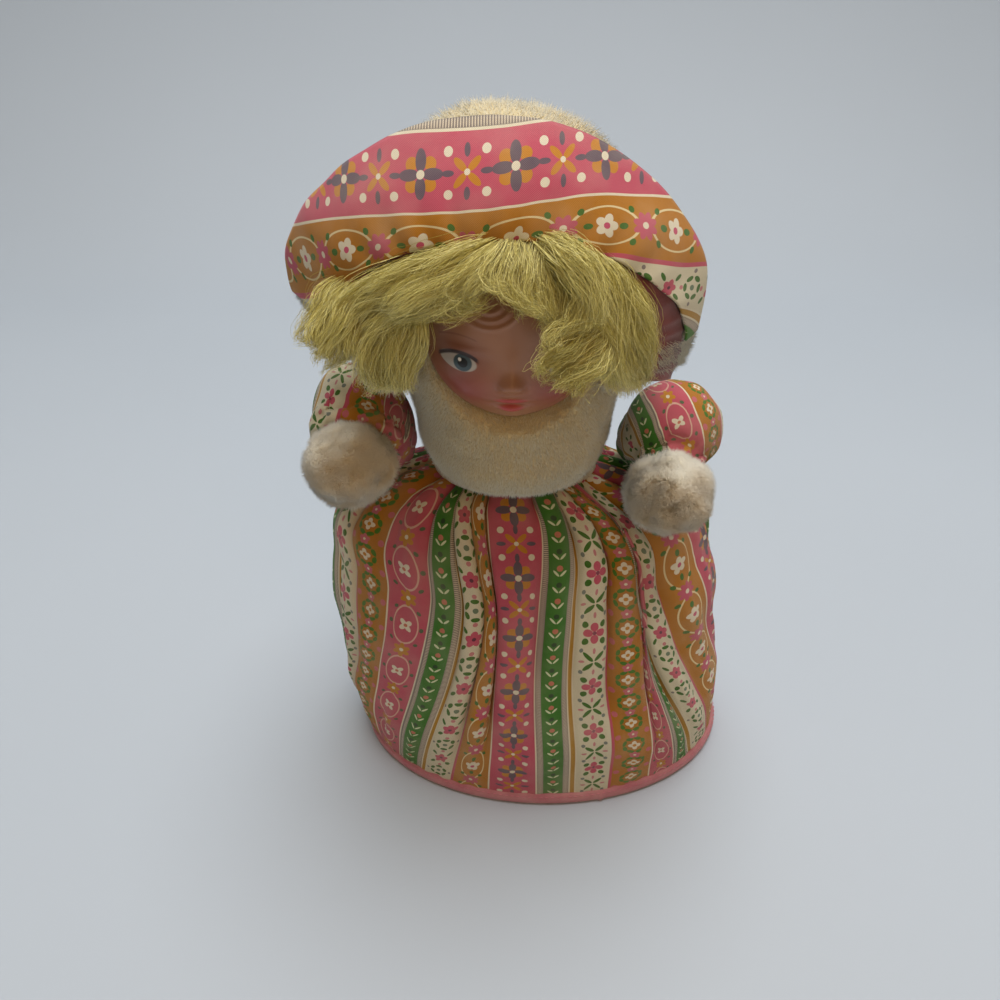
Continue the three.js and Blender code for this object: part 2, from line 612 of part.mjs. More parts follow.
function makeArm({ side, turn, puff, mitt }) {
  const pivot = shoulderCentre(THREE.MathUtils.degToRad(turn));
  console.log(side + " shoulder at " + pivot.toArray().map((v) => v.toFixed(2)).join(", "));
  const pear = pearGrid(new THREE.Vector3(), new THREE.Vector3(...puff), SHOULDER_RADIUS, PUFF_RADIUS);
  const hand = (inset) => unitBall
    .scale([MITT.wide - inset, MITT.deep - inset, MITT.high - inset]).translate(mitt);
  const sleeve = shell(pear, pushed(pear, -COTTON)).subtract(hand(PLUSH));
  const stuffing = filled(pushed(pear, -(COTTON + SLACK))).add(hand(PLUSH + SLACK));
  const arm = new THREE.Group();
  arm.position.copy(pivot);
  return arm.add(
    meshOf(side + "_sleeve", sleeve, "print"),
    meshOf(side + "_mitt", cutBy(hand(0), hand(PLUSH), filled(pushed(pear, GAP))), "plush"),
    meshOf(side + "_arm_stuffing", stuffing, "stuffing"),
  );
}

const head = new THREE.Group();
head.position.copy(KNOB_CENTRE);
head.add(...makeHead(), ...makeHat(), ...makeHair());

const doll = new THREE.Group();
doll.add(makeSkirt(), ...makeBase(), makeHemBand(), makeNeckCord(), makeBodyStuffing());
doll.add(head, ...ARMS.map(makeArm));
export default doll;
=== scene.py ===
# %% [markdown]
# # A stuffed cloth doll
# The doll is a padded bell of printed cotton on a flat oval base. It has a plush head with a
# moulded face, mohair curls, a plush hat whose printed brim is turned up, and two short arms.
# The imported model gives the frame: every piece here is made in metres, in that same frame.

import math

import bmesh
import bpy
import numpy as np
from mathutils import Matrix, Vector, noise


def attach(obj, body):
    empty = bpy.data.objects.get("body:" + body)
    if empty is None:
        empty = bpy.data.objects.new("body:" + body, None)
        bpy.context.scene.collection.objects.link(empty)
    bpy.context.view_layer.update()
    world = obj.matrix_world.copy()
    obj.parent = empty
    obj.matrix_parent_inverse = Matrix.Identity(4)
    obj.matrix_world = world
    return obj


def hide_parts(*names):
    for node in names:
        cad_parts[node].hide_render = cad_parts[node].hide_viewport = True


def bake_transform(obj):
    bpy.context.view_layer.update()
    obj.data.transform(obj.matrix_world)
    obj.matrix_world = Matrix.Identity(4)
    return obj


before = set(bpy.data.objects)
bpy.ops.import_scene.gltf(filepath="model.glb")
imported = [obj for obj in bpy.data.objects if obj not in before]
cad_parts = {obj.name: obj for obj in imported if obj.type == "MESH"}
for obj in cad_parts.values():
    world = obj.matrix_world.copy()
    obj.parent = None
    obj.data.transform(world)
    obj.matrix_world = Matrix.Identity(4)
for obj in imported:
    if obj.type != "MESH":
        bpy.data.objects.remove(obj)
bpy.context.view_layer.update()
MM = 0.001
print("nodes:", len(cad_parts))

# %% [markdown]
# ## Camera
# The photograph looks down on the doll from close by, so its perspective is strong. The lens is a
# small camera's usual one. With it, the camera's place and pitch were found from the size and the
# oval of the doll's base and from the repeat of the print.

# %% Camera
CAMERA_PLACE = Vector((-24, -300, 350)) * MM
CAMERA_PITCH = math.radians(34)  # below the horizon
LENS = 27.04
SENSOR = 36.0
IMAGE_SIDE = 1000

camera = bpy.data.objects.new("camera", bpy.data.cameras.new("camera"))
camera.data.lens = LENS
camera.data.sensor_width = SENSOR
camera.data.clip_start = 0.01
camera.location = CAMERA_PLACE
camera.rotation_euler = (math.pi / 2 - CAMERA_PITCH, 0, 0)
bpy.context.scene.collection.objects.link(camera)
bpy.context.scene.camera = camera


def seen_at(column, row, y):
    """The place, in millimetres, on the line of sight of a pixel at a given depth y."""
    focal = LENS / SENSOR * IMAGE_SIDE
    a, b = (column - IMAGE_SIDE / 2) / focal, (row - IMAGE_SIDE / 2) / focal
    ahead, fall = math.cos(CAMERA_PITCH), math.sin(CAMERA_PITCH)
    line = np.array([a, ahead - b * fall, -fall - b * ahead])
    start = np.array(CAMERA_PLACE) / MM
    return start + line * (y - start[1]) / line[1]


print("middle of the picture, at y = 0:", seen_at(IMAGE_SIDE / 2, IMAGE_SIDE / 2, 0).round(), "mm")

# %% [markdown]
# ## Materials
# Colours are written as sRGB hex values, as they are read from a picture, and Blender works in
# linear light, so one function turns them. A second one adds a node with its settings and links.

# %% Colours and nodes
def linear(code):
    """A hex colour in linear light, with its alpha."""
    parts = [int(code[i:i + 2], 16) / 255 for i in (0, 2, 4)]
    return [*(c / 12.92 if c <= 0.04045 else ((c + 0.055) / 1.055) ** 2.4 for c in parts), 1.0]


def add(tree, kind, links=None, **settings):
    """A new node. links gives each input a value, a socket, or a node whose first output it takes."""
    node = tree.nodes.new(kind)
    for name, value in settings.items():
        setattr(node, name, value)
    for name, value in (links or {}).items():
        if isinstance(value, bpy.types.Node):
            value = value.outputs[0]
        if isinstance(value, bpy.types.NodeSocket):
            tree.links.new(value, node.inputs[name])
        else:
            node.inputs[name].default_value = value
    return node


MATH, VECTOR, MIX = "ShaderNodeMath", "ShaderNodeVectorMath", "ShaderNodeMix"


def surface(name, build, **finish):
    """A material from a function that returns its colour and its height in metres, and from values
    for the shader's own sockets."""
    material = bpy.data.materials.new(name)
    material.use_nodes = True
    tree = material.node_tree
    tree.nodes.clear()
    colour, height = build(tree)
    bump = add(tree, "ShaderNodeBump", {"Height": height, "Strength": 1.0, "Distance": 1.0})
    shader = add(tree, "ShaderNodeBsdfPrincipled", {"Base Color": colour, "Normal": bump})
    for socket, value in finish.items():
        shader.inputs[socket.replace("_", " ")].default_value = value
    add(tree, "ShaderNodeOutputMaterial", {"Surface": shader})
    return material


def blend_colour(tree, share, first, second):
    """A colour between two others."""
    node = add(tree, MIX, {0: share}, data_type="RGBA")
    for socket, value in ((node.inputs[6], first), (node.inputs[7], second)):
        if isinstance(value, str):
            socket.default_value = linear(value)
        else:
            tree.links.new(value.outputs[2] if value.bl_idname == MIX else value.outputs[0], socket)
    return node


# %% [markdown]
# ### Printed cotton
# The cloth is a plain-woven cotton with a folk print in stripes: leaf wreaths, ovals, chevrons and
# small flowers. A stripe's base colour depends only on how far across the cloth a point is. The
# motifs are all made of petals round a centre, so one group of nodes draws them: a dot is one petal
# at radius 0, a V is one slanting petal and its mirror image, and a wreath is eight petals.
# The numbers of each stripe's motifs come from colour ramps that are read across the cloth.
# The threads are drawn a little coarser than the real 0.45 mm, so that they show.

# %% The print's stripes and motifs
LINE, STONE, LEAF, GOLD, IVORY, ROSE = "E5DABD", "857A70", "3F7A22", "B98A2A", "DDD3B4", "C65668"
GREEN_BAND = [(STONE, 3.0), (LEAF, 9.6), (STONE, 3.0), (LINE, 0.8), (GOLD, 2.4), (LINE, 0.8)]
STRIPES = [  # colour and width in millimetres, across the cloth
    ("B5761F", 18.0), (LINE, 0.8), ("C45A68", 19.0), (LINE, 0.8), *GREEN_BAND, (IVORY, 18.0),
    (ROSE, 1.7), ("B97A1E", 19.5), (LINE, 0.8), (ROSE, 21.5), (LINE, 0.8), *GREEN_BAND,
    (IVORY, 19.0), (ROSE, 1.7),
]
REPEAT = sum(width for _, width in STRIPES)
ALONG = 28.7  # the motifs repeat after this many millimetres along a stripe
THREAD = 0.55  # from one thread to the next, in millimetres
UV_UNIT = 100.0  # one unit of the cloth's UV map, in millimetres
PRINT_RELIEF, PLAIN_RELIEF, PILE_RELIEF = 0.00012, 0.0001, 0.0004  # heights for the light, in metres

GREEN, CREAM, ORANGE, GREY = "44701F", "E6DBC0", "C48422", "6A5862"
HATCH = (0, 1, 6.3, 1.5, 0.22, 0, 0.9, 0, "D9C9B0")  # fine pale strokes on the grey edges
CHEVRONS = [
    (45, 1, 2.1, 1.8, 0.5, 0, ALONG / 4, 0, "DDE3B8"),
    (0, 1, 0, 1.3, 1.3, 0, ALONG / 2, ALONG / 8, "C9785C"),
    (0, 1, 0, 1.2, 1.2, 0, ALONG / 2, ALONG * 3 / 8, "2D4A22"),
    HATCH,
]
# Each stripe: where it ends, where its middle is, and its motifs from the bottom up. A motif is its
# turn in degrees, petals, ring radius, petal length and breadth (half sizes), how hollow it is,
# the length of its repeat along the stripe, where it starts, and its colour.
ZONES = [
    (18.4, 9.0, [
        (22.5, 8, 4.6, 1.0, 1.75, 0, ALONG / 2, 0, "4C7A1E"),
        (0, 4, 1.4, 1.4, 1.1, 0, ALONG / 2, 0, CREAM),
        (0, 1, 0, 0.9, 0.9, 0, ALONG / 2, 0, ORANGE),
        (0, 1, 7.2, 1.4, 1.6, 0, ALONG / 2, ALONG / 4, "C96A72"),
        (90, 5, 1.3, 1.2, 1.0, 0, ALONG / 2, ALONG / 4, "C96A72"),
        (0, 1, 0, 0.6, 0.6, 0, ALONG / 2, ALONG / 4, CREAM),
    ]),
    (39.0, 28.3, [
        (0, 1, 0, 6.2, 10.6, 0.9, ALONG, 0, "DDB09C"),
        (45, 4, 1.9, 1.8, 1.2, 0, ALONG, 0, CREAM),
        (0, 1, 0, 0.9, 0.9, 0, ALONG, 0, "C9785C"),
        (90, 6, 2.3, 1.9, 1.2, 0, ALONG, ALONG / 2, ORANGE),
        (0, 1, 0, 1.0, 1.0, 0, ALONG, ALONG / 2, CREAM),
        (42, 4, 8.0, 1.2, 0.8, 0, ALONG, ALONG / 2, "5D6A4C"),
        (0, 2, 7.4, 0.9, 1.2, 0, ALONG, 0, "5D6A4C"),
    ]),
    (54.6, 46.4, CHEVRONS),
    (77.0, 67.2, [
        (90, 5, 2.1, 2.0, 1.6, 0, ALONG, 0, "C9596B"),
        (0, 1, 0, 0.9, 0.9, 0, ALONG, 0, "6B3A48"),
        (30, 6, 4.5, 1.1, 2.0, 0, ALONG, ALONG / 2, GREEN),
        (0, 1, 0, 1.3, 1.3, 0, ALONG, ALONG / 2, "6E7F62"),
        (45, 4, 6.6, 2.0, 1.0, 0, ALONG, 0, GREEN),
        (0, 1, 7.4, 0.9, 0.9, 0, ALONG, ALONG / 2, "8A7F78"),
        (90, 2, 6.9, 1.1, 1.1, 0, ALONG, ALONG / 2, "CC7F80"),
    ]),
    (97.8, 87.65, [
        (0, 1, 0, 6.7, 12.6, 0.91, ALONG, 0, "E6D3A0"),
        (90, 5, 2.2, 1.9, 1.5, 0, ALONG, 0, CREAM),
        (0, 1, 0, 1.1, 1.1, 0, ALONG, 0, "C8526F"),
        (90, 2, 6.3, 1.7, 1.1, 0, ALONG, 0, GREEN),
        (22.5, 8, 2.6, 2.1, 1.2, 0, ALONG, ALONG / 2, "C4566B"),
        (0, 1, 0, 1.1, 1.1, 0, ALONG, ALONG / 2, CREAM),
        (48, 4, 7.4, 1.3, 1.0, 0, ALONG, ALONG / 2, GREEN),
    ]),
    (120.0, 108.95, [
        (45, 4, 4.2, 1.9, 2.0, 0, ALONG, 0, "C98628"),
        (0, 4, 3.8, 3.2, 1.7, 0, ALONG, 0, GREY),
        (0, 1, 0, 1.3, 1.3, 0, ALONG, 0, CREAM),
        (45, 4, 3.0, 2.6, 1.1, 0, ALONG, ALONG / 2, "C98628"),
        (0, 4, 5.9, 1.9, 0.9, 0, ALONG, ALONG / 2, GREY),
        (0, 1, 0, 0.9, 0.9, 0, ALONG, ALONG / 2, CREAM),
        (45, 4, 8.2, 1.4, 1.4, 0, ALONG, ALONG / 2, CREAM),
    ]),
    (136.5, 128.3, CHEVRONS),
    (REPEAT, 149.6, [
        (0, 4, 2.9, 2.2, 1.8, 0, ALONG, 0, "C9596B"),
        (45, 4, 5.9, 1.7, 1.5, 0, ALONG, 0, GREEN),
        (0, 1, 0, 0.9, 0.9, 0, ALONG, 0, "8E4A5A"),
        (45, 4, 3.7, 3.1, 1.0, 0, ALONG, ALONG / 2, GREEN),
        (45, 4, 8.3, 1.1, 1.1, 0, ALONG, ALONG / 2, "7D8378"),
        (0, 4, 5.6, 1.5, 0.7, 0, ALONG, ALONG / 2, "CC8585"),
    ]),
]
LAYERS = max(len(motifs) for _, _, motifs in ZONES)
NO_MOTIF = (0, 1, 9, 0.01, 0.01, 0, ALONG, 0, CREAM)
SCALE = (90, 8, 10, 10, 10, 1, 30, 30)  # what each number of a motif is divided by in its ramp
print("repeat across", round(REPEAT, 1), "mm, motif layers", LAYERS)


# %% One motif, as a group of nodes
def petals_group():
    """Petals round a centre: 1 inside a petal and 0 outside."""
    tree = bpy.data.node_groups.new("petals", "ShaderNodeTree")
    for name in ("Across", "Along", "Turn", "Count", "Ring", "Length", "Breadth", "Hollow"):
        tree.interface.new_socket(name, in_out="INPUT", socket_type="NodeSocketFloat")
    tree.interface.new_socket("Inside", in_out="OUTPUT", socket_type="NodeSocketFloat")
    given = tree.nodes.new("NodeGroupInput").outputs
    place = add(tree, "ShaderNodeCombineXYZ", {"X": given["Across"], "Y": given["Along"]})
    far = add(tree, VECTOR, {0: place}, operation="LENGTH").outputs["Value"]
    angle = add(tree, MATH, {0: given["Along"], 1: given["Across"]}, operation="ARCTAN2")
    turned = add(tree, MATH, {0: angle, 1: given["Turn"]}, operation="SUBTRACT")
    half = add(tree, MATH, {0: math.pi, 1: given["Count"]}, operation="DIVIDE")
    other = add(tree, MATH, {0: half, 1: -1.0}, operation="MULTIPLY")
    local = add(tree, MATH, {0: turned, 1: half, 2: other}, operation="WRAP")
    cosine = add(tree, MATH, {0: local}, operation="COSINE")
    sine = add(tree, MATH, {0: local}, operation="SINE")
    outward = add(tree, MATH, {0: far, 1: cosine}, operation="MULTIPLY")
    aside = add(tree, MATH, {0: far, 1: sine}, operation="MULTIPLY")
    beyond = add(tree, MATH, {0: outward, 1: given["Ring"]}, operation="SUBTRACT")
    u = add(tree, MATH, {0: beyond, 1: given["Length"]}, operation="DIVIDE")
    v = add(tree, MATH, {0: aside, 1: given["Breadth"]}, operation="DIVIDE")
    spot = add(tree, "ShaderNodeCombineXYZ", {"X": u, "Y": v})
    size = add(tree, VECTOR, {0: spot}, operation="LENGTH")
    within = add(tree, MATH, {0: size.outputs["Value"], 1: 1.0}, operation="LESS_THAN")
    outside = add(tree, MATH, {0: size.outputs["Value"], 1: given["Hollow"]}, operation="GREATER_THAN")
    both = add(tree, MATH, {0: within, 1: outside}, operation="MULTIPLY")
    add(tree, "NodeGroupOutput", {"Inside": both})
    return tree


PETALS = petals_group()


# %% The whole print
def ramp_of(tree, place, rows):
    """A stepped ramp across the cloth, with one colour for each stripe."""
    node = add(tree, "ShaderNodeValToRGB", {"Fac": place})
    ramp = node.color_ramp
    ramp.interpolation = "CONSTANT"
    starts = [0.0] + [end / REPEAT for end, _, _ in ZONES[:-1]]
    while len(ramp.elements) < len(rows):
        ramp.elements.new(0.5)
    for element, start, row in zip(ramp.elements, starts, rows):
        element.position = start
        element.color = row
    return node


def weave(tree, across, along, pitch):
    """The height of plain-woven threads, from 0 to 1."""
    waves = []
    for side in (across, along):
        angle = add(tree, MATH, {0: side, 1: 2 * math.pi / pitch}, operation="MULTIPLY")
        waves.append(add(tree, MATH, {0: angle}, operation="SINE"))
    over = add(tree, MATH, {0: waves[0], 1: waves[1]}, operation="MULTIPLY")
    return add(tree, MATH, {0: over, 1: 0.5, 2: 0.5}, operation="MULTIPLY_ADD")


def print_colours(tree):
    """The print's colour and its threads' height."""
    # the stripes, each painted over what lies before it
    cloth = add(tree, "ShaderNodeUVMap", uv_map="cloth")
    sides = add(tree, "ShaderNodeSeparateXYZ", {0: cloth})
    across = add(tree, MATH, {0: sides.outputs["X"], 1: UV_UNIT}, operation="MULTIPLY")
    along = add(tree, MATH, {0: sides.outputs["Y"], 1: UV_UNIT}, operation="MULTIPLY")
    place = add(tree, MATH, {0: across, 1: REPEAT, 2: 0.0}, operation="WRAP")
    colour, edge = None, 0.0
    for code, width in STRIPES:
        past = add(tree, MATH, {0: place, 1: edge}, operation="GREATER_THAN")
        colour = blend_colour(tree, past, colour or code, code)
        edge += width
    share = add(tree, MATH, {0: place, 1: REPEAT}, operation="DIVIDE")
    middles = ramp_of(tree, share, [(middle / REPEAT, 0, 0, 1) for _, middle, _ in ZONES])
    middle_share = add(tree, "ShaderNodeSeparateColor", {0: middles})
    middle = add(tree, MATH, {0: middle_share, 1: REPEAT}, operation="MULTIPLY")
    from_middle = add(tree, MATH, {0: place, 1: middle}, operation="SUBTRACT")
    aside = add(tree, MATH, {0: from_middle}, operation="ABSOLUTE")
    # the motifs, layer by layer, with their numbers read from ramps
    for layer in range(LAYERS):
        rows = [(motifs + [NO_MOTIF] * LAYERS)[layer] for _, _, motifs in ZONES]
        parts = [[number / size for number, size in zip(row, SCALE)] for row in rows]
        ramps = [
            ramp_of(tree, share, [part[:4] for part in parts]),
            ramp_of(tree, share, [part[4:8] for part in parts]),
            ramp_of(tree, share, [linear(row[-1]) for row in rows]),
        ]
        numbers = []
        for ramp in ramps[:2]:
            split = add(tree, "ShaderNodeSeparateColor", {0: ramp})
            numbers += [*split.outputs, ramp.outputs["Alpha"]]
        sizes = [math.radians(SCALE[0]), *SCALE[1:]]  # the petals' group wants the turn in radians
        turn, count, ring, length, breadth, hollow, period, start = [
            add(tree, MATH, {0: number, 1: size}, operation="MULTIPLY")
            for number, size in zip(numbers, sizes)
        ]
        half = add(tree, MATH, {0: period, 1: 0.5}, operation="MULTIPLY")
        other = add(tree, MATH, {0: period, 1: -0.5}, operation="MULTIPLY")
        shifted = add(tree, MATH, {0: along, 1: start}, operation="SUBTRACT")
        local = add(tree, MATH, {0: shifted, 1: half, 2: other}, operation="WRAP")
        inside = add(tree, "ShaderNodeGroup", {
            "Across": aside, "Along": local, "Turn": turn, "Count": count, "Ring": ring,
            "Length": length, "Breadth": breadth, "Hollow": hollow}, node_tree=PETALS)
        colour = blend_colour(tree, inside, colour, ramps[2])
    # the threads, with painted shade in the gaps between them and a little painted light on them, and the
    # worn places
    threads = weave(tree, across, along, THREAD)
    gaps = add(tree, "ShaderNodeMapRange", {0: threads, 1: 0.25, 2: 0.75, 3: 0.0, 4: 1.0})
    spot = add(tree, "ShaderNodeTexCoord").outputs["Object"]
    faded = add(tree, "ShaderNodeTexNoise", {"Vector": spot, "Scale": 55.0, "Detail": 3.0})
    pale = add(tree, "ShaderNodeMapRange", {0: faded, 1: 0.4, 2: 0.75, 3: 0.0, 4: 0.16})
    worn = blend_colour(tree, pale, colour, "D8CDB4")
    dark = add(tree, "ShaderNodeMapRange", {0: gaps, 3: 0.72, 4: 1.06})
    lit = add(tree, VECTOR, {0: worn.outputs[2], "Scale": dark.outputs[0]}, operation="SCALE")
    return lit, add(tree, MATH, {0: threads, 1: PRINT_RELIEF}, operation="MULTIPLY")


PRINT = surface("printed_cotton_woven", print_colours,
                Roughness=0.88, Sheen_Weight=0.15, Specular_IOR_Level=0.25)
print("nodes in the print:", len(PRINT.node_tree.nodes))

# %% [markdown]
# ### Plain cottons, plush, mohair and board
# Plain cotton is woven and dyed, so it shows its weave and some unevenness in the dye, with painted
# shade between its threads and a little painted light on them. The lining is a satin weave, which
# shines a little more, and its dark red is painted shade under the brim. The cord and the sewing
# thread are twisted cotton, matt like the cloth. Plush is a cut pile, and its colour runs from painted
# shade at a fibre's root to a pale tip: each fibre carries that as an attribute, and a second one says
# how much paler a piece is painted than the rest, which is painted light on the mitts. Mohair is
# glossier, and its tint changes from strand to strand. The board is pressed from pulp, so it is dull
# and mottled. The floor is matt paint, which shows soft shadows.


# %% Plain cottons
def plain_cotton(code, worn_code):
    def build(tree):
        place = add(tree, "ShaderNodeTexCoord").outputs["Object"]
        sides = add(tree, "ShaderNodeSeparateXYZ", {0: place})
        around = add(tree, MATH, {0: sides.outputs["X"], 1: sides.outputs["Y"]}, operation="ADD")
        up = add(tree, MATH, {0: sides.outputs["Z"], 1: sides.outputs["Y"]}, operation="ADD")
        threads = weave(tree, around, up, THREAD * MM)
        uneven = add(tree, "ShaderNodeTexNoise", {"Vector": place, "Scale": 90.0, "Detail": 4.0})
        share = add(tree, "ShaderNodeMapRange", {0: uneven, 1: 0.35, 2: 0.7})
        dyed = blend_colour(tree, share, code, worn_code)
        # painted shade in the gaps between the threads, and a little painted light on them
        dark = add(tree, "ShaderNodeMapRange", {0: threads, 3: 0.86, 4: 1.03})
        lit = add(tree, VECTOR, {0: dyed.outputs[2], "Scale": dark.outputs[0]}, operation="SCALE")
        return lit, add(tree, MATH, {0: threads, 1: PLAIN_RELIEF}, operation="MULTIPLY")
    return build


PINK_COTTON = surface("pink_cotton_woven", plain_cotton("BC6E78", "C88A8A"), Roughness=0.9, Sheen_Weight=0.15)
# the lining's deep red is painted shade under the brim
SHADED_LINING = surface("lining_satin_cotton", plain_cotton("64201C", "8E3C32"), Roughness=0.55, Sheen_Weight=0.3)
CORD = surface("cotton_cord_twisted", plain_cotton("D8CCB2", "C4B696"), Roughness=0.9)
THREADS = surface("sewing_thread", plain_cotton("C9707F", "D98A94"), Roughness=0.7)


# %% Plush and mohair
def pile_colours(root, tip, stain):
    def build(tree):
        place = add(tree, "ShaderNodeTexCoord").outputs["Object"]
        # on plush the tip attribute runs from root to tip, so the root gets painted shade; on mohair it is a
        # random tint for each strand
        height = add(tree, "ShaderNodeAttribute", attribute_name="tip").outputs["Fac"]
        fibre = blend_colour(tree, height, root, tip)
        patches = add(tree, "ShaderNodeTexNoise", {
            "Vector": place, "Scale": 45.0, "Detail": 5.0, "Roughness": 0.6})
        share = add(tree, "ShaderNodeMapRange", {0: patches, 1: 0.5, 2: 0.8, 3: 0.0, 4: 0.45})
        fine = add(tree, "ShaderNodeTexNoise", {"Vector": place, "Scale": 1500.0, "Detail": 1.0})
        worn = blend_colour(tree, share, fibre, stain)
        # a piece's pale share blends its pile towards a pale cream, as painted light; only the mitts have it
        pale = add(tree, "ShaderNodeAttribute", attribute_name="pale").outputs["Fac"]
        shown = blend_colour(tree, pale, worn, PAINTED_LIGHT_CREAM)
        return shown.outputs[2], add(tree, MATH, {0: fine, 1: PILE_RELIEF}, operation="MULTIPLY")
    return build


# the pale cream of the painted light on the mitts
PAINTED_LIGHT_CREAM = "FFF9E8"
PLUSH = surface("plush_cut_pile", pile_colours("DCCB9E", "FBF3DA", "CDB684"),
                Roughness=0.95, Sheen_Weight=0.4)
MOHAIR = surface("mohair_curls", pile_colours("AEA042", "F8EE9A", "CCC062"),
                 Roughness=0.42, Sheen_Weight=0.3)


# %% Board and floor
def board_colours(tree):
    place = add(tree, "ShaderNodeTexCoord").outputs["Object"]
    fibres = add(tree, "ShaderNodeTexNoise", {"Vector": place, "Scale": 400.0, "Detail": 6.0})
    return (blend_colour(tree, fibres, "9A7B52", "B79A70").outputs[2],
            add(tree, MATH, {0: fibres, 1: 0.0002}, operation="MULTIPLY"))


def floor_colours(tree):
    place = add(tree, "ShaderNodeTexCoord").outputs["Object"]
    soft = add(tree, "ShaderNodeTexNoise", {"Vector": place, "Scale": 3.0, "Detail": 1.0})
    return blend_colour(tree, soft, "B4BCC4", "B8C0C8").outputs[2], 0.0


BOARD = surface("cardboard_grey", board_colours, Roughness=0.95)
FLOOR = surface("floor_matt_paint", floor_colours, Roughness=0.75, Specular_IOR_Level=0.2)

# %% [markdown]
# ## Making meshes
# Most pieces are sheets, so they start as a grid of points, in millimetres. The grid also carries
# its cloth place: millimetres across and along the stripes, kept as a UV map called "cloth". A
# grid could also come from a sculpted mesh, but rows of sizes are easier to read and to change.


# %% Grids and sheets
def piece_from_grid(name, points, cloth=None, wrap=False, turned=False):
    """points: rows x columns x 3. cloth: rows x (columns + 1 if wrapped) x 2, in millimetres."""
    rows, columns = points.shape[:2]
    spans = columns if wrap else columns - 1
    i, j = np.meshgrid(np.arange(rows - 1), np.arange(spans), indexing="ij")
    after = (j + 1) % columns
    corners = [(i, j, j), (i, after, j + 1), (i + 1, after, j + 1), (i + 1, j, j)]
    if turned:
        corners.reverse()
    faces = np.stack([r * columns + c for r, c, _ in corners], -1).reshape(-1, 4)
    mesh = bpy.data.meshes.new(name)
    mesh.from_pydata((points.reshape(-1, 3) * MM).tolist(), [], faces.tolist())
    if cloth is not None:
        layer = mesh.uv_layers.new(name="cloth")
        places = np.stack([cloth[r, c] for r, _, c in corners], 2).reshape(-1, 2) / UV_UNIT
        layer.data.foreach_set("uv", places.astype(np.float32).ravel())
    piece = bpy.data.objects.new(name, mesh)
    bpy.context.scene.collection.objects.link(piece)
    return piece


def settled(piece):
    """The piece with its modifiers applied, and smooth."""
    graph = bpy.context.evaluated_depsgraph_get()
    graph.update()
    mesh = bpy.data.meshes.new_from_object(piece.evaluated_get(graph))
    piece.modifiers.clear()
    piece.data = mesh
    mesh.shade_smooth()
    return piece


DOUBLED = 0.00001  # points that are closer than this, in metres, are one point


def tidy(piece):
    """Merges doubled points and turns the faces outwards."""
    form = bmesh.new()
    form.from_mesh(piece.data)
    bmesh.ops.remove_doubles(form, verts=form.verts, dist=DOUBLED)
    bmesh.ops.recalc_face_normals(form, faces=form.faces)
    form.to_mesh(piece.data)
    form.free()
    return piece


def thicken(piece, thickness):
    """A wall behind the sheet's outer face."""
    wall = piece.modifiers.new("wall", "SOLIDIFY")
    wall.thickness = thickness * MM
    wall.offset = -1
    wall.use_even_offset = False
    return settled(piece)


def dress(piece, material, body, slot, *nodes):
    """Gives a finished piece its material and the body it rides on; a piece given two bodies to bend
    between is only fixed in place. Hides the imported solids it stands for."""
    piece.data.materials.clear()
    piece.data.materials.append(material)
    if isinstance(body, str):
        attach(piece, body)
    else:
        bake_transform(piece)
    if nodes:
        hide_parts(*nodes)
    triangles = sum(len(face.vertices) - 2 for face in piece.data.polygons)
    print(piece.name, triangles, "triangles")
    return piece


def smooth_table(rows, places):
    """Smooth values of a table's columns at any places along its first column."""
    table = np.array(rows, float)
    keys, values = table[:, 0], table[:, 1:]
    slopes = np.gradient(values, keys, axis=0)
    at = np.clip(np.asarray(places, float), keys[0], keys[-1])
    k = np.clip(np.searchsorted(keys, at, side="right") - 1, 0, len(keys) - 2)
    span = (keys[k + 1] - keys[k])[..., None]
    t = ((at - keys[k]) / span[..., 0])[..., None]
    return ((2 * t**3 - 3 * t**2 + 1) * values[k] + (t**3 - 2 * t**2 + t) * span * slopes[k]
            + (3 * t**2 - 2 * t**3) * values[k + 1] + (t**3 - t**2) * span * slopes[k + 1])


def normals_of(points, wrap):
    """The outward direction at each point of a grid."""
    if wrap:
        along = np.roll(points, -1, 1) - np.roll(points, 1, 1)
    else:
        along = np.gradient(points, axis=1)
    cross = np.cross(along, np.gradient(points, axis=0))
    return cross / np.maximum(np.linalg.norm(cross, axis=2, keepdims=True), 1e-9)


def lengths_along(points, axis):
    """How far each point of a grid is along its row or column, in millimetres."""
    steps = np.linalg.norm(np.diff(points, axis=axis), axis=2)
    return np.concatenate([np.zeros_like(np.take(steps, [0], axis)), np.cumsum(steps, axis)], axis)


def ruffled(points, size, seed):
    """Smooth random values from -1 to 1 over a grid, for lumps of a size in millimetres."""
    flat = points.reshape(-1, 3) / size + seed
    return np.array([noise.noise(Vector(p)) for p in flat]).reshape(points.shape[:2])


def drawn_in(row):
    """A row of a grid with all its points at their middle, which closes an end."""
    return np.repeat(row.mean(1, keepdims=True), row.shape[1], 1)


def round_turns(count):
    """Angles of evenly spaced points round a circle."""
    return np.linspace(0, 2 * math.pi, count + 1)[:-1]


# %% [markdown]
# ## The skirt
# The skirt is a straight strip of cloth. It is sewn round the base and gathered into the neck, so
# the same width of cloth covers a long hem and a short neck. Its folds therefore run along its
# stripes. A line along the cloth is named by its place across the strip, and a table says where
# such a line lies round the body at the neck and at the hem, and how far it bows aside between.
# Where lines come close, the spare cloth between two valleys decides how deep their fold is, and
# neighbouring folds share the valley between them. A cloth simulation can't easily be told where
# each stripe should end up, so the folds are worked out here. At the top the gathers close in under
# the head.

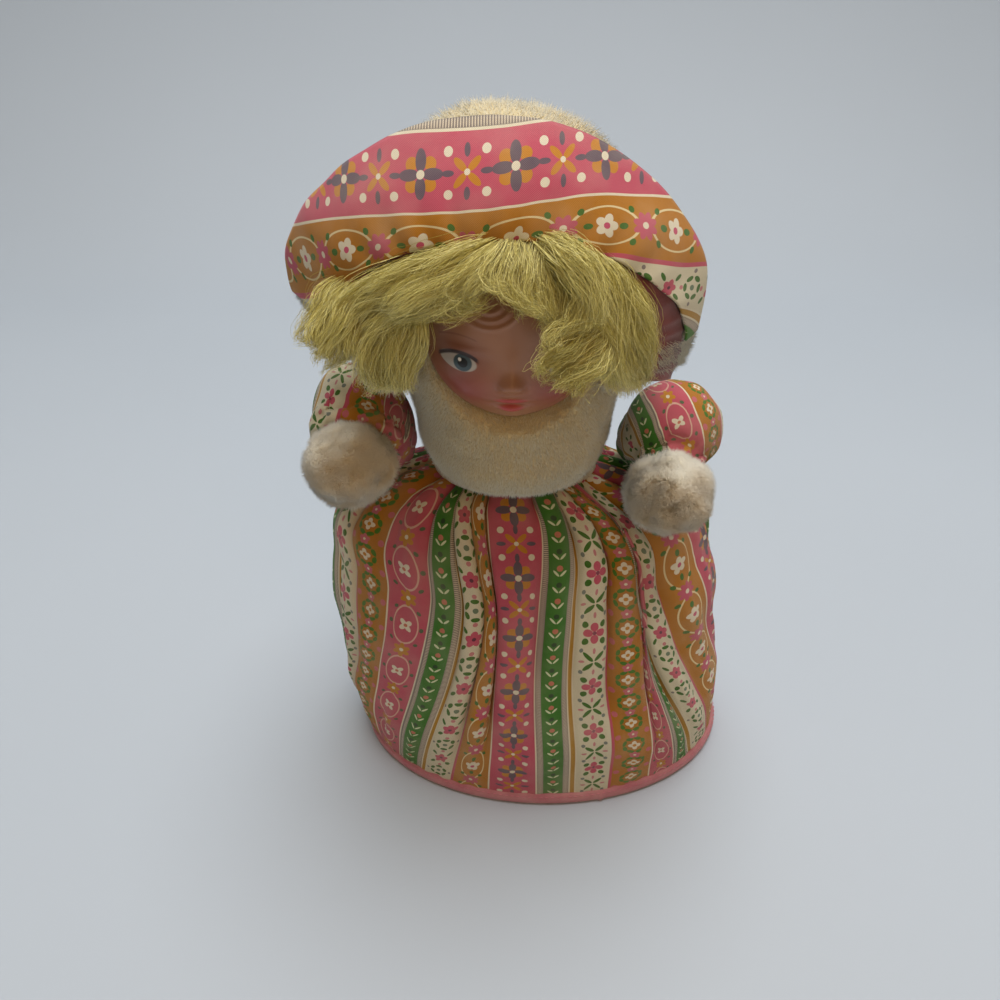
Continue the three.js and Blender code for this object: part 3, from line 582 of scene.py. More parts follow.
# %% Skirt sizes
BODY_ROWS = [  # height, half width, half depth and middle, in millimetres
    (0.4, 98, 63, 0), (36, 101.5, 66.5, -4), (84, 97.5, 64, -10), (125, 92, 56, -13),
    (148, 84, 47, -15), (160, 66, 39, -16), (167, 47, 32, -17), (170, 35, 27, -17),
]
NECK_HEIGHT = 170
NECK_MIDDLE = np.array([-17, 0, 0])
CLOTH_LINES = np.array([  # place across in millimetres; turns at the neck, at the hem and bow in degrees
    (-171, 90, 90, 0), (-42, 135, 167, 38), (0, 160, 188, 45), (18.4, 198, 204, 28),
    (39, 222, 217, 23), (54.6, 227, 227, 25), (77, 238, 239, 21), (97.8, 250, 252, 12),
    (120, 283, 267, -5), (136.5, 296, 277, -8), (161, 305, 290, -6), (179.4, 311, 304, -5),
    (215.6, 322, 325, -20), (238, 328, 341, -20), (258.8, 345, 362, -16), (281, 365, 384, -16),
    (420, 450, 450, 0),
])
VALLEYS = np.array([
    -171, -150, -128, -107, -85, -64, -43, -21, -2, 20, 37, 57, 75, 94,
    120, 138, 160, 183, 216, 239, 259, 281, 302, 324, 345, 366, 388, 408, 420,
])
FRONT_FOLDS, POCKET_FOLD = (94, 183), 216  # the valleys at which these folds end
DEEPEST = 11  # of a fold, in millimetres
SKIRT_COLUMNS, SKIRT_ROWS = 462, 120
# the gathered top: how wide it still is, how far it has risen and how much cloth has gone in
GATHERED_TOP = [(0.9, 1.2, 3), (0.7, 2.4, 9), (0.45, 3, 16), (0.2, 3.2, 23)]
random = np.random.default_rng(7)


def turns_at(across, height):
    """Where lines along the cloth lie round the body at a height, in radians."""
    down = np.clip((NECK_HEIGHT - height) / NECK_HEIGHT, 0, 1)
    neck, hem, bow = CLOTH_LINES[:, 1:].T
    lines = neck + (hem - neck) * down + bow * math.sin(math.pi * math.sqrt(down))
    return np.radians(np.interp(across, CLOTH_LINES[:, 0], lines))


def body_at(height, angles):
    """Points of the body's outline at a height."""
    wide, deep, middle = smooth_table(BODY_ROWS, [height])[0]
    x, y = middle + wide * np.cos(angles), deep * np.sin(angles)
    return np.stack([x, y, np.full(len(angles), height)], -1)


# %% Skirt folds
fine_heights = np.linspace(0.4, NECK_HEIGHT, 1200)
profile = smooth_table(BODY_ROWS, fine_heights)
steps = np.hypot(np.diff(fine_heights), np.diff(profile[:, :2].mean(1)))
run = np.concatenate([[0], np.cumsum(steps)])
heights = np.interp(np.linspace(0, run[-1], SKIRT_ROWS), run, fine_heights)
across = np.linspace(*CLOTH_LINES[[0, -1], 0], SKIRT_COLUMNS + 1)[:-1]
fold = np.clip(np.searchsorted(VALLEYS, across, side="right") - 1, 0, len(VALLEYS) - 2)
cloth_in_fold = np.diff(VALLEYS)
q = (across - VALLEYS[fold]) / cloth_in_fold[fold]
fold_vigour = random.uniform(0.8, 1.3, len(cloth_in_fold))
fold_vigour[np.isin(VALLEYS[1:], FRONT_FOLDS)] = 1.5  # the two deepest folds of the front
fold_vigour[VALLEYS[1:] == POCKET_FOLD] = 0.6
# the fold in the pocket beside them is pressed flat, so it doesn't lap over
lap_limit = np.where(VALLEYS[1:] == POCKET_FOLD, 0.7, 1.25)

surface_rows, folded_in = [], []
for height in heights:
    rim = body_at(height, turns_at(VALLEYS, height))
    room = np.linalg.norm(np.diff(rim, axis=0), axis=1)
    # cloth that has no room between two valleys goes into their fold, which laps over sideways
    spare = np.sqrt(np.clip(cloth_in_fold**2 - (1.08 * room) ** 2, 0, None))
    rise = np.clip((height - 8) / 60, 0, 1)
    depth = np.minimum(0.5 * spare, 0.85 * room) * rise**0.6 * fold_vigour
    depth = np.minimum(depth, DEEPEST)
    valley = (np.append(depth, depth[0]) + np.insert(depth, 0, depth[-1])) / 2
    deep = valley[fold] * (1 - q) + valley[fold + 1] * q
    lap = np.clip((cloth_in_fold / room - 1) * 1.1, 0, lap_limit) * rise
    moved = q - lap[fold] * np.sin(2 * math.pi * q) / (2 * math.pi)
    angles = turns_at(VALLEYS[fold] + cloth_in_fold[fold] * moved, height)
    surface_rows.append(body_at(height, angles))
    ridge = np.sin(math.pi * q) ** 0.65
    folded_in.append(deep * (ridge - 1) + 0.3 * np.minimum(deep, 4))
skirt = np.stack(surface_rows)
print("deepest fold", round(-np.min(folded_in), 1), "mm")

# %% Skirt wrinkles
even = np.stack([body_at(height, turns_at(across, height)) for height in heights])
away = normals_of(even, True)
skirt_along = lengths_along(even, 0)
wrinkle = np.array([[
    noise.noise(Vector((s / 7, d / 34, 2.0))) + 0.5 * noise.noise(Vector((s / 3, d / 22, 7.0)))
    for s in across] for d in skirt_along[:, 0]])
spread = np.clip((heights - 2) / 30, 0.15, 1)[:, None]
soft = ruffled(even, 30, 3.1) * 2.1 * spread + wrinkle * 1.3 * spread
pucker = np.sin(across * 2 * math.pi / 11 + 2 * np.sin(across / 17)) * 0.5
pucker = pucker * np.exp(-heights / 9)[:, None]  # only close to the hem
skirt += away * (np.stack(folded_in) + soft + pucker)[..., None]
skirt[..., 2] = np.maximum(skirt[..., 2], 0.4)

# %% Skirt piece
closing = [
    (skirt[-1] - NECK_MIDDLE) * (share, share, 1) + NECK_MIDDLE + (0, 0, up)
    for share, up, _ in GATHERED_TOP
]
skirt_full = np.concatenate([skirt, np.stack(closing)])
gone_in = np.array([cloth_in for _, _, cloth_in in GATHERED_TOP])[:, None]
cloth_up = np.concatenate([skirt_along, skirt_along[-1:] + gone_in])
cloth_up = np.concatenate([cloth_up, cloth_up[:, :1]], 1)
cloth_round = np.append(across, CLOTH_LINES[-1, 0])
cloth = np.stack([np.broadcast_to(cloth_round, cloth_up.shape), cloth_up], -1)
skirt_piece = piece_from_grid("skirt_cloth", skirt_full, cloth, wrap=True)
thicken(skirt_piece, 0.7)
dress(skirt_piece, PRINT, "body", "print", "skirt", "body_stuffing")

# %% [markdown]
# ### Hem band and base
# A plain pink band is sewn round the hem and turned under the base cover. Its edges ease in a little
# cloth, so it has small puckers, and its two ends meet in a seam near the front.

# %% Hem band
BAND_COLUMNS = 420
BAND_SECTION = [  # how far out and how high, from the ground up and over the band's edge
    (0.2, 0.35), (1.5, 0.9), (2.3, 2.6), (2.5, 4.6), (2.1, 6.6), (1.2, 7.7), (0.1, 8.0), (-0.6, 7.2),
]
BAND_HEIGHT = 8
BAND_PUCKERS = 46
SEAM_SHARE = 0.555  # how far round from the back the band's ends meet


def ellipse_turns(wide, deep, count, start):
    """Angles that share an ellipse's outline evenly, and its length."""
    fine = np.linspace(0, 2 * math.pi, 2001) + start
    steps = np.hypot(wide * np.diff(np.cos(fine)), deep * np.diff(np.sin(fine)))
    run = np.concatenate([[0], np.cumsum(steps)])
    return np.interp(np.arange(count + 1) / count * run[-1], run, fine), run[-1]


hem_wide, hem_deep = BODY_ROWS[0][1:3]
band_turns, hem_length = ellipse_turns(hem_wide, hem_deep, BAND_COLUMNS, math.pi / 2)
print("hem", round(hem_length), "mm round")
band_share = np.arange(BAND_COLUMNS) / BAND_COLUMNS
band_turn = band_share * 2 * math.pi
wave = np.sin(band_turn * BAND_PUCKERS + 3 * np.sin(band_turn * 7))
seam = np.exp(-((band_share - SEAM_SHARE) / 0.0022) ** 2)
base = np.stack([body_at(height, band_turns[:-1]) for height in (0.5, 6.0)])
away = normals_of(base, True)[0]
rows = []
for stand, high in BAND_SECTION:
    ease = 0.22 * wave * (high / BAND_HEIGHT) ** 2 + 0.9 * seam * (0.3 < high < 7.5)
    point = base[0] + away * (stand + ease)[:, None]
    point[:, 2] = high + 0.25 * wave * (high > 7)
    rows.append(point)
band_piece = piece_from_grid("hem_band_binding", np.stack(rows), wrap=True)
thicken(band_piece, 0.8)
dress(band_piece, PINK_COTTON, "body", "pink_cotton", "hem_band")
for node, material in (("base_cover", PINK_COTTON), ("base_board", BOARD)):
    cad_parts[node].data.materials.clear()
    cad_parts[node].data.materials.append(material)

# %% [markdown]
# ### Stitches
# A line of machine stitches holds the band. One small stitch is instanced along a curve with
# Geometry Nodes, so the spacing is a single number.


# %% Stitches along a curve
def stitch_tree():
    tree = bpy.data.node_groups.new("stitches", "GeometryNodeTree")
    for name, kind in (("Line", "NodeSocketGeometry"), ("Spacing", "NodeSocketFloat"),
                       ("Length", "NodeSocketFloat"), ("Thickness", "NodeSocketFloat"),
                       ("Thread", "NodeSocketMaterial")):
        tree.interface.new_socket(name, in_out="INPUT", socket_type=kind)
    tree.interface.new_socket("Stitches", in_out="OUTPUT", socket_type="NodeSocketGeometry")
    given = tree.nodes.new("NodeGroupInput").outputs
    places = add(tree, "GeometryNodeCurveToPoints", {
        "Curve": given["Line"], "Length": given["Spacing"]}, mode="LENGTH")
    one = add(tree, "GeometryNodeMeshIcoSphere", {"Radius": 0.5, "Subdivisions": 2})
    size = add(tree, "ShaderNodeCombineXYZ", {
        0: given["Thickness"], 1: given["Thickness"], 2: given["Length"]})
    made = add(tree, "GeometryNodeInstanceOnPoints", {
        "Points": places, "Instance": one, "Rotation": places.outputs["Rotation"], "Scale": size})
    real = add(tree, "GeometryNodeRealizeInstances", {0: made})
    shown = add(tree, "GeometryNodeSetMaterial", {"Geometry": real, "Material": given["Thread"]})
    add(tree, "NodeGroupOutput", {0: shown})
    return tree


def run_tree(source, tree, values):
    """Runs a tree on an object and returns a plain mesh object with the result."""
    modifier = source.modifiers.new("nodes", "NODES")
    modifier.node_group = tree
    for item in tree.interface.items_tree:
        if item.in_out == "INPUT" and item.name in values:
            modifier[item.identifier] = values[item.name]
    graph = bpy.context.evaluated_depsgraph_get()
    graph.update()
    mesh = bpy.data.meshes.new_from_object(source.evaluated_get(graph))
    source.modifiers.clear()
    return mesh


def curve_of(name, lines, closed=False):
    """A curve object from lists of points in millimetres."""
    curve = bpy.data.curves.new(name, "CURVE")
    curve.dimensions = "3D"
    for line in lines:
        spline = curve.splines.new("POLY")
        spline.points.add(len(line) - 1)
        spline.points.foreach_set("co", np.c_[np.array(line) * MM, np.ones(len(line))].ravel())
        spline.use_cyclic_u = closed
    holder = bpy.data.objects.new(name, curve)
    bpy.context.scene.collection.objects.link(holder)
    return holder


STITCHES = stitch_tree()


def stitch_line(name, line, body, slot):
    guide = curve_of(name + "_guide", [line], closed=True)
    mesh = run_tree(guide, STITCHES, {
        "Spacing": 3.0 * MM, "Length": 2.0 * MM, "Thickness": 0.45 * MM, "Thread": THREADS})
    bpy.data.objects.remove(guide)
    mesh.shade_smooth()
    piece = bpy.data.objects.new(name, mesh)
    bpy.context.scene.collection.objects.link(piece)
    return dress(piece, THREADS, body, slot)


STITCHES_OUT, STITCHES_UP = 2.25, 6.9
hem_line = base[0] + away * STITCHES_OUT
hem_line[:, 2] = STITCHES_UP
stitch_line("hem_stitches", hem_line, "body", "pink_cotton")

# %% [markdown]
# ### Neck cord
# The gathers are drawn up on a twisted cord. Little of it shows between the fur and the folds.

# %% Neck cord
CORD_WIDE, CORD_DEEP, CORD_HEIGHT, CORD_RADIUS, CORD_TWISTS = 36.5, 28.5, 170.2, 1.1, 30
cord_rows = []
for turn in round_turns(120):
    place = (CORD_WIDE * math.cos(turn), CORD_DEEP * math.sin(turn), CORD_HEIGHT)
    outward = np.array([math.cos(turn), math.sin(turn), 0])
    section = []
    for side in round_turns(10):
        strands = 1 + 0.12 * math.cos(2 * (side + turn * CORD_TWISTS))
        way = outward * math.cos(side) + (0, 0, math.sin(side))
        section.append(NECK_MIDDLE + place + way * CORD_RADIUS * strands)
    cord_rows.append(section)
cord_rows.append(cord_rows[0])
cord_piece = tidy(piece_from_grid("neck_gathering_cord", np.array(cord_rows), wrap=True))
dress(settled(cord_piece), CORD, "body", "cord", "neck_cord")

# %% [markdown]
# ## Plush
# Plush is a knitted backing with a cut pile. A smooth form is the backing, and Geometry Nodes set
# thousands of short fibres on it. They lean one way, as brushed pile does, and in small clumps.


# %% Pile tree
def pile_tree():
    tree = bpy.data.node_groups.new("pile", "GeometryNodeTree")
    for name, kind in (("Backing", "NodeSocketGeometry"), ("Density", "NodeSocketFloat"),
                       ("Length", "NodeSocketFloat"), ("Thickness", "NodeSocketFloat"),
                       ("Lean", "NodeSocketVector"), ("Ruffle", "NodeSocketFloat"),
                       ("Pale", "NodeSocketFloat"), ("Seed", "NodeSocketInt"),
                       ("Pile", "NodeSocketMaterial")):
        tree.interface.new_socket(name, in_out="INPUT", socket_type=kind)
    tree.interface.new_socket("Plush", in_out="OUTPUT", socket_type="NodeSocketGeometry")
    given = tree.nodes.new("NodeGroupInput").outputs
    fibre = add(tree, "GeometryNodeMeshCone", {
        "Vertices": 3, "Side Segments": 1, "Radius Top": 0.0, "Radius Bottom": 1.0, "Depth": 1.0,
    }, fill_type="NONE")
    up = add(tree, "ShaderNodeSeparateXYZ", {0: add(tree, "GeometryNodeInputPosition")}).outputs["Z"]
    marked = add(tree, "GeometryNodeStoreNamedAttribute", {
        "Geometry": fibre, "Name": "tip", "Value": up}, domain="POINT")
    grown = add(tree, "GeometryNodeInputNamedAttribute", {"Name": "grown"}, data_type="FLOAT")
    dense = add(tree, MATH, {0: given["Density"], 1: grown}, operation="MULTIPLY")
    roots = add(tree, "GeometryNodeDistributePointsOnFaces", {
        "Mesh": given["Backing"], "Density": dense, "Seed": given["Seed"]})
    place = add(tree, "GeometryNodeInputPosition")
    clumps = add(tree, "ShaderNodeTexNoise", {"Vector": place, "Scale": 130.0, "Detail": 2.0})
    centred = add(tree, VECTOR, {0: clumps.outputs["Color"], 1: (0.5, 0.5, 0.5)}, operation="SUBTRACT")
    jitter = add(tree, "FunctionNodeRandomValue", {
        "Min": (-0.2,) * 3, "Max": (0.2,) * 3, "Seed": 5}, data_type="FLOAT_VECTOR")
    ruffle = add(tree, VECTOR, {0: centred, "Scale": given["Ruffle"]}, operation="SCALE")
    way = add(tree, VECTOR, {0: roots.outputs["Normal"], 1: given["Lean"]}, operation="ADD")
    way = add(tree, VECTOR, {0: way, 1: ruffle}, operation="ADD")
    way = add(tree, VECTOR, {0: way, 1: jitter}, operation="ADD")
    turn = add(tree, "FunctionNodeAlignRotationToVector", {"Vector": way}, axis="Z")
    vary = add(tree, "FunctionNodeRandomValue", {2: 0.55, 3: 1.1, "Seed": 9}, data_type="FLOAT")
    longer = add(tree, MATH, {0: vary.outputs[1], 1: given["Length"]}, operation="MULTIPLY")
    size = add(tree, "ShaderNodeCombineXYZ", {0: given["Thickness"], 1: given["Thickness"], 2: longer})
    set_in = add(tree, "GeometryNodeInstanceOnPoints", {
        "Points": roots, "Instance": marked, "Rotation": turn, "Scale": size})
    real = add(tree, "GeometryNodeRealizeInstances", {0: set_in})
    both = tree.nodes.new("GeometryNodeJoinGeometry")
    for part in (real.outputs[0], given["Backing"]):
        tree.links.new(part, both.inputs[0])
    # the pale share is stored on the pile, for the painted light on the mitts
    painted_light_marked = add(tree, "GeometryNodeStoreNamedAttribute", {
        "Geometry": both, "Name": "pale", "Value": given["Pale"]}, domain="POINT")
    shown = add(tree, "GeometryNodeSetMaterial", {"Geometry": painted_light_marked, "Material": given["Pile"]})
    add(tree, "NodeGroupOutput", {0: shown})
    return tree


PILE = pile_tree()


FIBRE = 0.16  # radius of a tuft's fibre at its root, coarser than a real one, so that it shows


def plush_piece(backing, length, fibres, lean, body, nodes, ruffle=1.2, grown=None, pale=0.0):
    """Grows pile on a backing, which becomes the finished piece."""
    mesh = backing.data
    layer = mesh.attributes.new("grown", "FLOAT", "POINT")
    place = np.zeros(len(mesh.vertices) * 3)
    mesh.vertices.foreach_get("co", place)
    place = place.reshape(-1, 3) / MM
    amount = np.ones(len(place)) if grown is None else grown(place)
    layer.data.foreach_set("value", amount.astype(np.float32))
    area = sum(f.area * np.mean([amount[v] for v in f.vertices]) for f in mesh.polygons)
    backing.data = run_tree(backing, PILE, {
        "Density": fibres / area, "Length": length * MM, "Thickness": FIBRE * MM, "Lean": lean,
        "Ruffle": ruffle, "Pale": pale, "Seed": len(backing.name), "Pile": PLUSH})
    backing.data.shade_smooth()
    print(backing.name, "pile on", round(area * 1e6), "square mm")
    dress(backing, PLUSH, body, "plush", *nodes)
    return backing


# %% [markdown]
# ## Head
# The head is a stuffed plush ball that narrows to the neck. The moulded face is set in its front, and
# the pile hides the seam round it. It is a grid of rounded rows, so each row's size can be read off.

# %% Head
KNOB = np.array([-17, -4, 176])
HEAD_ROWS = [  # height, half width, front, back, middle, from the knob's centre
    (0, 23, 25, 20, 0), (4, 33, 38, 30, -0.2), (12, 38.5, 46, 38, -0.5), (29, 41.5, 50, 44, -1),
    (54, 46, 49, 47, -2), (79, 50, 46, 48, -3), (104, 47, 42, 44, -4), (124, 35, 31, 33, -5),
    (134, 20, 18, 19, -5), (137, 8, 7, 8, -5),
]
FACE_MIDDLE = np.array([-19.0, -66.0, 252.0])
FACE_WIDE, FACE_HIGH, FACE_DEEP = 33.0, 35.0, 26.0
FRONT_OF_HEAD = -20  # what lies before this y can be behind the face
RING = 120  # columns round the head and round the hat's crown


def head_surface(heights, angles):
    wide, front, back, middle = np.moveaxis(smooth_table(HEAD_ROWS, heights), -1, 0)
    deep = np.where(np.sin(angles)[None, :] < 0, front[:, None], back[:, None])
    return np.stack([
        middle[:, None] + wide[:, None] * np.cos(angles), -2 + deep * np.sin(angles),
        np.repeat(heights[:, None], len(angles), 1),
    ], -1) + KNOB


def face_share(x, z):
    """How far a place is from the face's middle, squared, and 1 at the face's edge."""
    return ((x - FACE_MIDDLE[0]) / FACE_WIDE) ** 2 + ((z - FACE_MIDDLE[2]) / FACE_HIGH) ** 2


head_heights = np.r_[0, 1, 2.2, np.linspace(4, 124, 60), 128, 131, 134, 136, 137]
head = head_surface(head_heights, round_turns(RING))
head += normals_of(head, True) * (ruffled(head, 16, 8.2) * 0.9 - 0.6)[..., None]
in_face = face_share(head[..., 0], head[..., 2])
sunk = (head[..., 1] < FRONT_OF_HEAD) * np.clip(1.15 - in_face, 0, 1)
head[..., 1] += 22 * sunk  # room for the face
closed = np.concatenate([drawn_in(head[:1]), head, drawn_in(head[-1:])])
head_piece = tidy(piece_from_grid("head_plush_pile", closed, wrap=True))


def head_shown(place):
    """More pile where the head shows: below the hat and the hair, and not behind the face."""
    low = np.clip((262 - place[:, 2]) / 20, 0.02, 1)
    behind = (place[:, 1] < FRONT_OF_HEAD) & (face_share(place[:, 0], place[:, 2]) < 0.85)
    return np.where(behind, 0, low) * np.where(place[:, 1] > 10, 0.6, 1)


# the neck is sewn into the gathers; NECK_BEND lists the body, the head and two points on the neck, but here
# the piece is only fixed in place
NECK_BEND = ("body", "head", (KNOB + (0, 0, 3)) * MM, (KNOB + (0, 0, 38)) * MM)
plush_piece(head_piece, 2.8, 62000, (0, -0.1, -0.8), NECK_BEND, ["head_plush", "head_stuffing"],
            grown=head_shown)

# %% [markdown]
# ### Face
# The face is one thin moulding of soft vinyl, which is smooth and a little glossy, as skin is. It is
# made as an oval dome, and each feature is a small swelling or hollow that is added to it. The eyes,
# lips, cheeks and lids are sprayed and painted on, so they belong to the material. The material also
# carries painted shade in the eye sockets and a painted highlight, a glint, in each eye.

# %% Face form
EYES, EYE_LEVEL, NOSE_X = 18.3, -5.5, -1.0
CREASES_X, CREASES_Z, CREASE_RADII = -9, 17, (5.0, 8.0, 11.0)  # raised arcs on the forehead


def swell(x, z, at_x, at_z, wide, high, out):
    return out * np.exp(-((x - at_x) / wide) ** 2 - ((z - at_z) / high) ** 2)


def face_features(x, z):
    """How far the face stands out from its dome."""
    side = np.abs(x - NOSE_X)
    # the forehead, then the eye sockets, the eyeballs in them and the upper lids
    out = swell(x, z, NOSE_X, 16, 20, 13, 3.0)
    out += swell(side, z, EYES, EYE_LEVEL, 9.0, 6.0, -3.0)
    out += swell(side, z, EYES, EYE_LEVEL - 0.5, 6.2, 4.0, 3.4)
    out += swell(side, z, EYES - 0.5, EYE_LEVEL + 4.2, 7.5, 1.6, 1.0)
    # the nose's bridge, tip, wings and nostrils
    out += swell(x, z, NOSE_X, -6, 3.2, 6.5, 1.6) + swell(x, z, NOSE_X, -13, 3.6, 3.6, 5.0)
    out += swell(side, z, 3.2, -14.2, 1.9, 2.0, 1.6) + swell(side, z, 1.9, -15.6, 0.9, 0.7, -0.9)
    # the cheeks and the chin, then the two lips and the line between them
    out += swell(side, z, 17, -16, 10, 9, 3.4) + swell(x, z, NOSE_X, -29.5, 7, 4, 3.2)
    out += swell(x, z, NOSE_X, -20.2, 6.2, 1.7, 2.3) + swell(x, z, NOSE_X, -24.3, 4.8, 1.9, 2.5)
    out += swell(x, z, NOSE_X, -22.2, 6.0, 0.7, -1.1)
    far = np.hypot(x - CREASES_X, (z - CREASES_Z) * 1.15)
    for radius in CREASE_RADII:
        out += 1.1 * np.exp(-((far - radius) / 0.9) ** 2) * np.clip((CREASES_Z - z) / 4, 0, 1)
    return out


FACE_RINGS, FACE_COLUMNS = 90, 132
ring = np.linspace(1, 0, FACE_RINGS)[:, None]
turn = (np.arange(FACE_COLUMNS) / FACE_COLUMNS * 2 * math.pi)[None, :]
share_out = np.sin(math.pi / 2 * ring)
x, z = FACE_WIDE * share_out * np.cos(turn), FACE_HIGH * share_out * np.sin(turn)
dome = FACE_DEEP * (1 - np.sqrt(np.clip(1 - share_out**2, 0, 1)))
inside_rim = np.clip((1 - share_out**2) * 2.5, 0, 1)
face = np.stack([x, dome - face_features(x, z) * inside_rim, z], -1) + FACE_MIDDLE
face_piece = tidy(piece_from_grid("moulded_face", face, wrap=True))


# %% Face finish
def face_colours(tree):
    place = add(tree, "ShaderNodeTexCoord").outputs["Object"]
    nose = tuple((FACE_MIDDLE + [NOSE_X, 0, 0]) * MM)
    local = add(tree, VECTOR, {0: place, 1: nose}, operation="SUBTRACT")
    in_millimetres = add(tree, VECTOR, {0: local, "Scale": 1 / MM}, operation="SCALE")
    sides = add(tree, "ShaderNodeSeparateXYZ", {0: in_millimetres})
    aside = add(tree, MATH, {0: sides.outputs["X"]}, operation="ABSOLUTE")
    uneven = add(tree, "ShaderNodeTexNoise", {"Vector": place, "Scale": 60.0, "Detail": 4.0})
    colour = blend_colour(tree, uneven, "A06C4C", "AC7856")
    # each spot: on both sides alike, x, z, half width, half height, slant, softness, colour, strength
    paint = [
        (True, 18, -17.5, 11.5, 9.5, 0, 0.9, "8C302C", 0.8),
        # painted shade in the eye sockets
        (True, 18, -4.0, 9.5, 6.5, 0, 0.7, "7E4A3A", 0.7),
        (True, EYES, EYE_LEVEL - 0.3, 6.4, 3.2, -8, 0.06, "B8B0A6", 1),
    ]
    # the irises and pupils, which look to one side, and the glints, a painted highlight in each eye
    for glance, up, wide, high, soft, code in ((1.6, -0.5, 3.2, 3.1, 0.08, "43565E"),
                                               (1.6, -0.4, 1.7, 1.7, 0.1, "15181C"),
                                               (0.6, 0.6, 0.6, 0.6, 0.1, "F4F4F0")):
        for eye in (EYES, -EYES):
            paint.append((False, eye + glance, EYE_LEVEL + up, wide, high, 0, soft, code, 1))
    for at_z, wide, high in ((-20.4, 5.4, 1.3), (-24.0, 4.2, 1.5)):
        paint.append((False, 0, at_z, wide, high, 0, 0.35, "B5433F", 0.95))
    for mirrored, at_x, at_z, wide, high, slant, soft, code, strength in paint:
        from_nose = aside if mirrored else sides.outputs["X"]
        leaning = math.tan(math.radians(slant))
        across = add(tree, MATH, {0: from_nose, 1: at_x}, operation="SUBTRACT")
        upward = add(tree, MATH, {0: sides.outputs["Z"], 1: at_z}, operation="SUBTRACT")
        tilt = add(tree, MATH, {0: across, 1: leaning, 2: upward}, operation="MULTIPLY_ADD")
        u = add(tree, MATH, {0: across, 1: wide}, operation="DIVIDE")
        v = add(tree, MATH, {0: tilt, 1: high}, operation="DIVIDE")
        spot = add(tree, "ShaderNodeCombineXYZ", {0: u, 1: v})
        size = add(tree, VECTOR, {0: spot}, operation="LENGTH")
        mask = add(tree, "ShaderNodeMapRange", {
            0: size.outputs["Value"], 1: 1 - soft, 2: 1 + soft, 3: strength, 4: 0.0,
        }, interpolation_type="SMOOTHSTEP")
        colour = blend_colour(tree, mask, colour, code)
    # lid lines and brows are arcs: height, bend, half length, half thickness, colour, strength
    arcs = [(EYE_LEVEL + 3.0, 0.055, 7.4, 0.8, "2A1714", 0.95),
            (EYE_LEVEL + 9.2, 0.03, 7.0, 0.35, "7A4A34", 0.5)]
    for at_z, bend, half, thick, code, strength in arcs:
        across = add(tree, MATH, {0: aside, 1: EYES}, operation="SUBTRACT")
        square = add(tree, MATH, {0: across, 1: across}, operation="MULTIPLY")
        arc = add(tree, MATH, {0: square, 1: bend, 2: sides.outputs["Z"]}, operation="MULTIPLY_ADD")
        above = add(tree, MATH, {0: arc, 1: at_z}, operation="SUBTRACT")
        off = add(tree, MATH, {0: above}, operation="ABSOLUTE")
        line = add(tree, "ShaderNodeMapRange", {
            0: off, 1: thick * 0.6, 2: thick * 1.3, 3: strength, 4: 0.0})
        out = add(tree, MATH, {0: across}, operation="ABSOLUTE")
        ends = add(tree, "ShaderNodeMapRange", {0: out, 1: half - 1, 2: half, 3: 1.0, 4: 0.0})
        mask = add(tree, MATH, {0: line, 1: ends}, operation="MULTIPLY")
        colour = blend_colour(tree, mask, colour, code)
    grain = add(tree, "ShaderNodeTexNoise", {"Vector": place, "Scale": 900.0, "Detail": 2.0})
    return colour.outputs[2], add(tree, MATH, {0: grain, 1: 0.00002}, operation="MULTIPLY")


VINYL = surface("vinyl_moulded_painted", face_colours,
                Roughness=0.42, Coat_Weight=0.1, Coat_Roughness=0.4)
thicken(face_piece, 1.2)
dress(face_piece, VINYL, "head", "vinyl", "face_mask")

# %% [markdown]
# ## Hat
# The hat is a plush cap with a wide brim turned up round the face. The brim is plush behind and
# printed cotton in front, and at both ends the plush goes a little past the print. A lining shows
# where the brim opens beside the curls; its dark red is painted shade under the brim. The crown's
# lower edge is rolled in, as a hem is.

# %% Hat crown
HAT_MIDDLE = KNOB + [-5, 4, 74]
CROWN_ROWS = [  # y, half width, half height
    (-62, 48, 47), (-54, 52, 53), (-36, 57, 63), (-12, 60, 69), (12, 58, 66), (34, 48, 54),
    (47, 31, 35), (51, 14, 16),
]
CROWN_FRONT, CROWN_BACK = 62 + KNOB[2], 38 + KNOB[2]  # heights of its lower edge

crown_y = np.r_[np.linspace(-56, 40, 56), 43, 46, 48.5, 50.2, 51]
crown_turns = round_turns(RING)
wide, high = np.moveaxis(smooth_table(CROWN_ROWS, crown_y), -1, 0)
crown = np.stack([
    wide[:, None] * np.cos(crown_turns), np.repeat(crown_y[:, None], RING, 1),
    high[:, None] * np.sin(crown_turns),
], -1) + HAT_MIDDLE
crown += normals_of(crown, True) * -(ruffled(crown, 22, 5.7) * 1.6 - 0.8)[..., None]
crown = np.concatenate([crown, drawn_in(crown[-1:])])
crown_piece = piece_from_grid("hat_crown_pile", crown, wrap=True, turned=True)
form = bmesh.new()
form.from_mesh(crown_piece.data)
bmesh.ops.remove_doubles(form, verts=form.verts, dist=DOUBLED)
low_front = Vector((0, HAT_MIDDLE[1] + CROWN_ROWS[0][0], CROWN_FRONT)) * MM
low_back = Vector((0, HAT_MIDDLE[1] + CROWN_ROWS[-1][0], CROWN_BACK)) * MM
slope = (low_back - low_front).normalized()
down = Vector((0, slope.z, -slope.y))
HEM_ROLL = 7 * MM  # the radius to which the edge is rolled in
bmesh.ops.bisect_plane(form, geom=form.verts[:] + form.edges[:] + form.faces[:],
                       plane_co=low_front + down * HEM_ROLL * 2.2, plane_no=down, clear_outer=True)
for vertex in form.verts:
    past = (vertex.co - low_front).dot(down) / HEM_ROLL
    if past > 0:
        inward = Vector((*(HAT_MIDDLE[:2] * MM - vertex.co.xy), 0)).normalized()
        vertex.co += down * HEM_ROLL * (math.sin(past) - past) + inward * HEM_ROLL * (1 - math.cos(past))
form.to_mesh(crown_piece.data)
form.free()
thicken(crown_piece, 3.5)
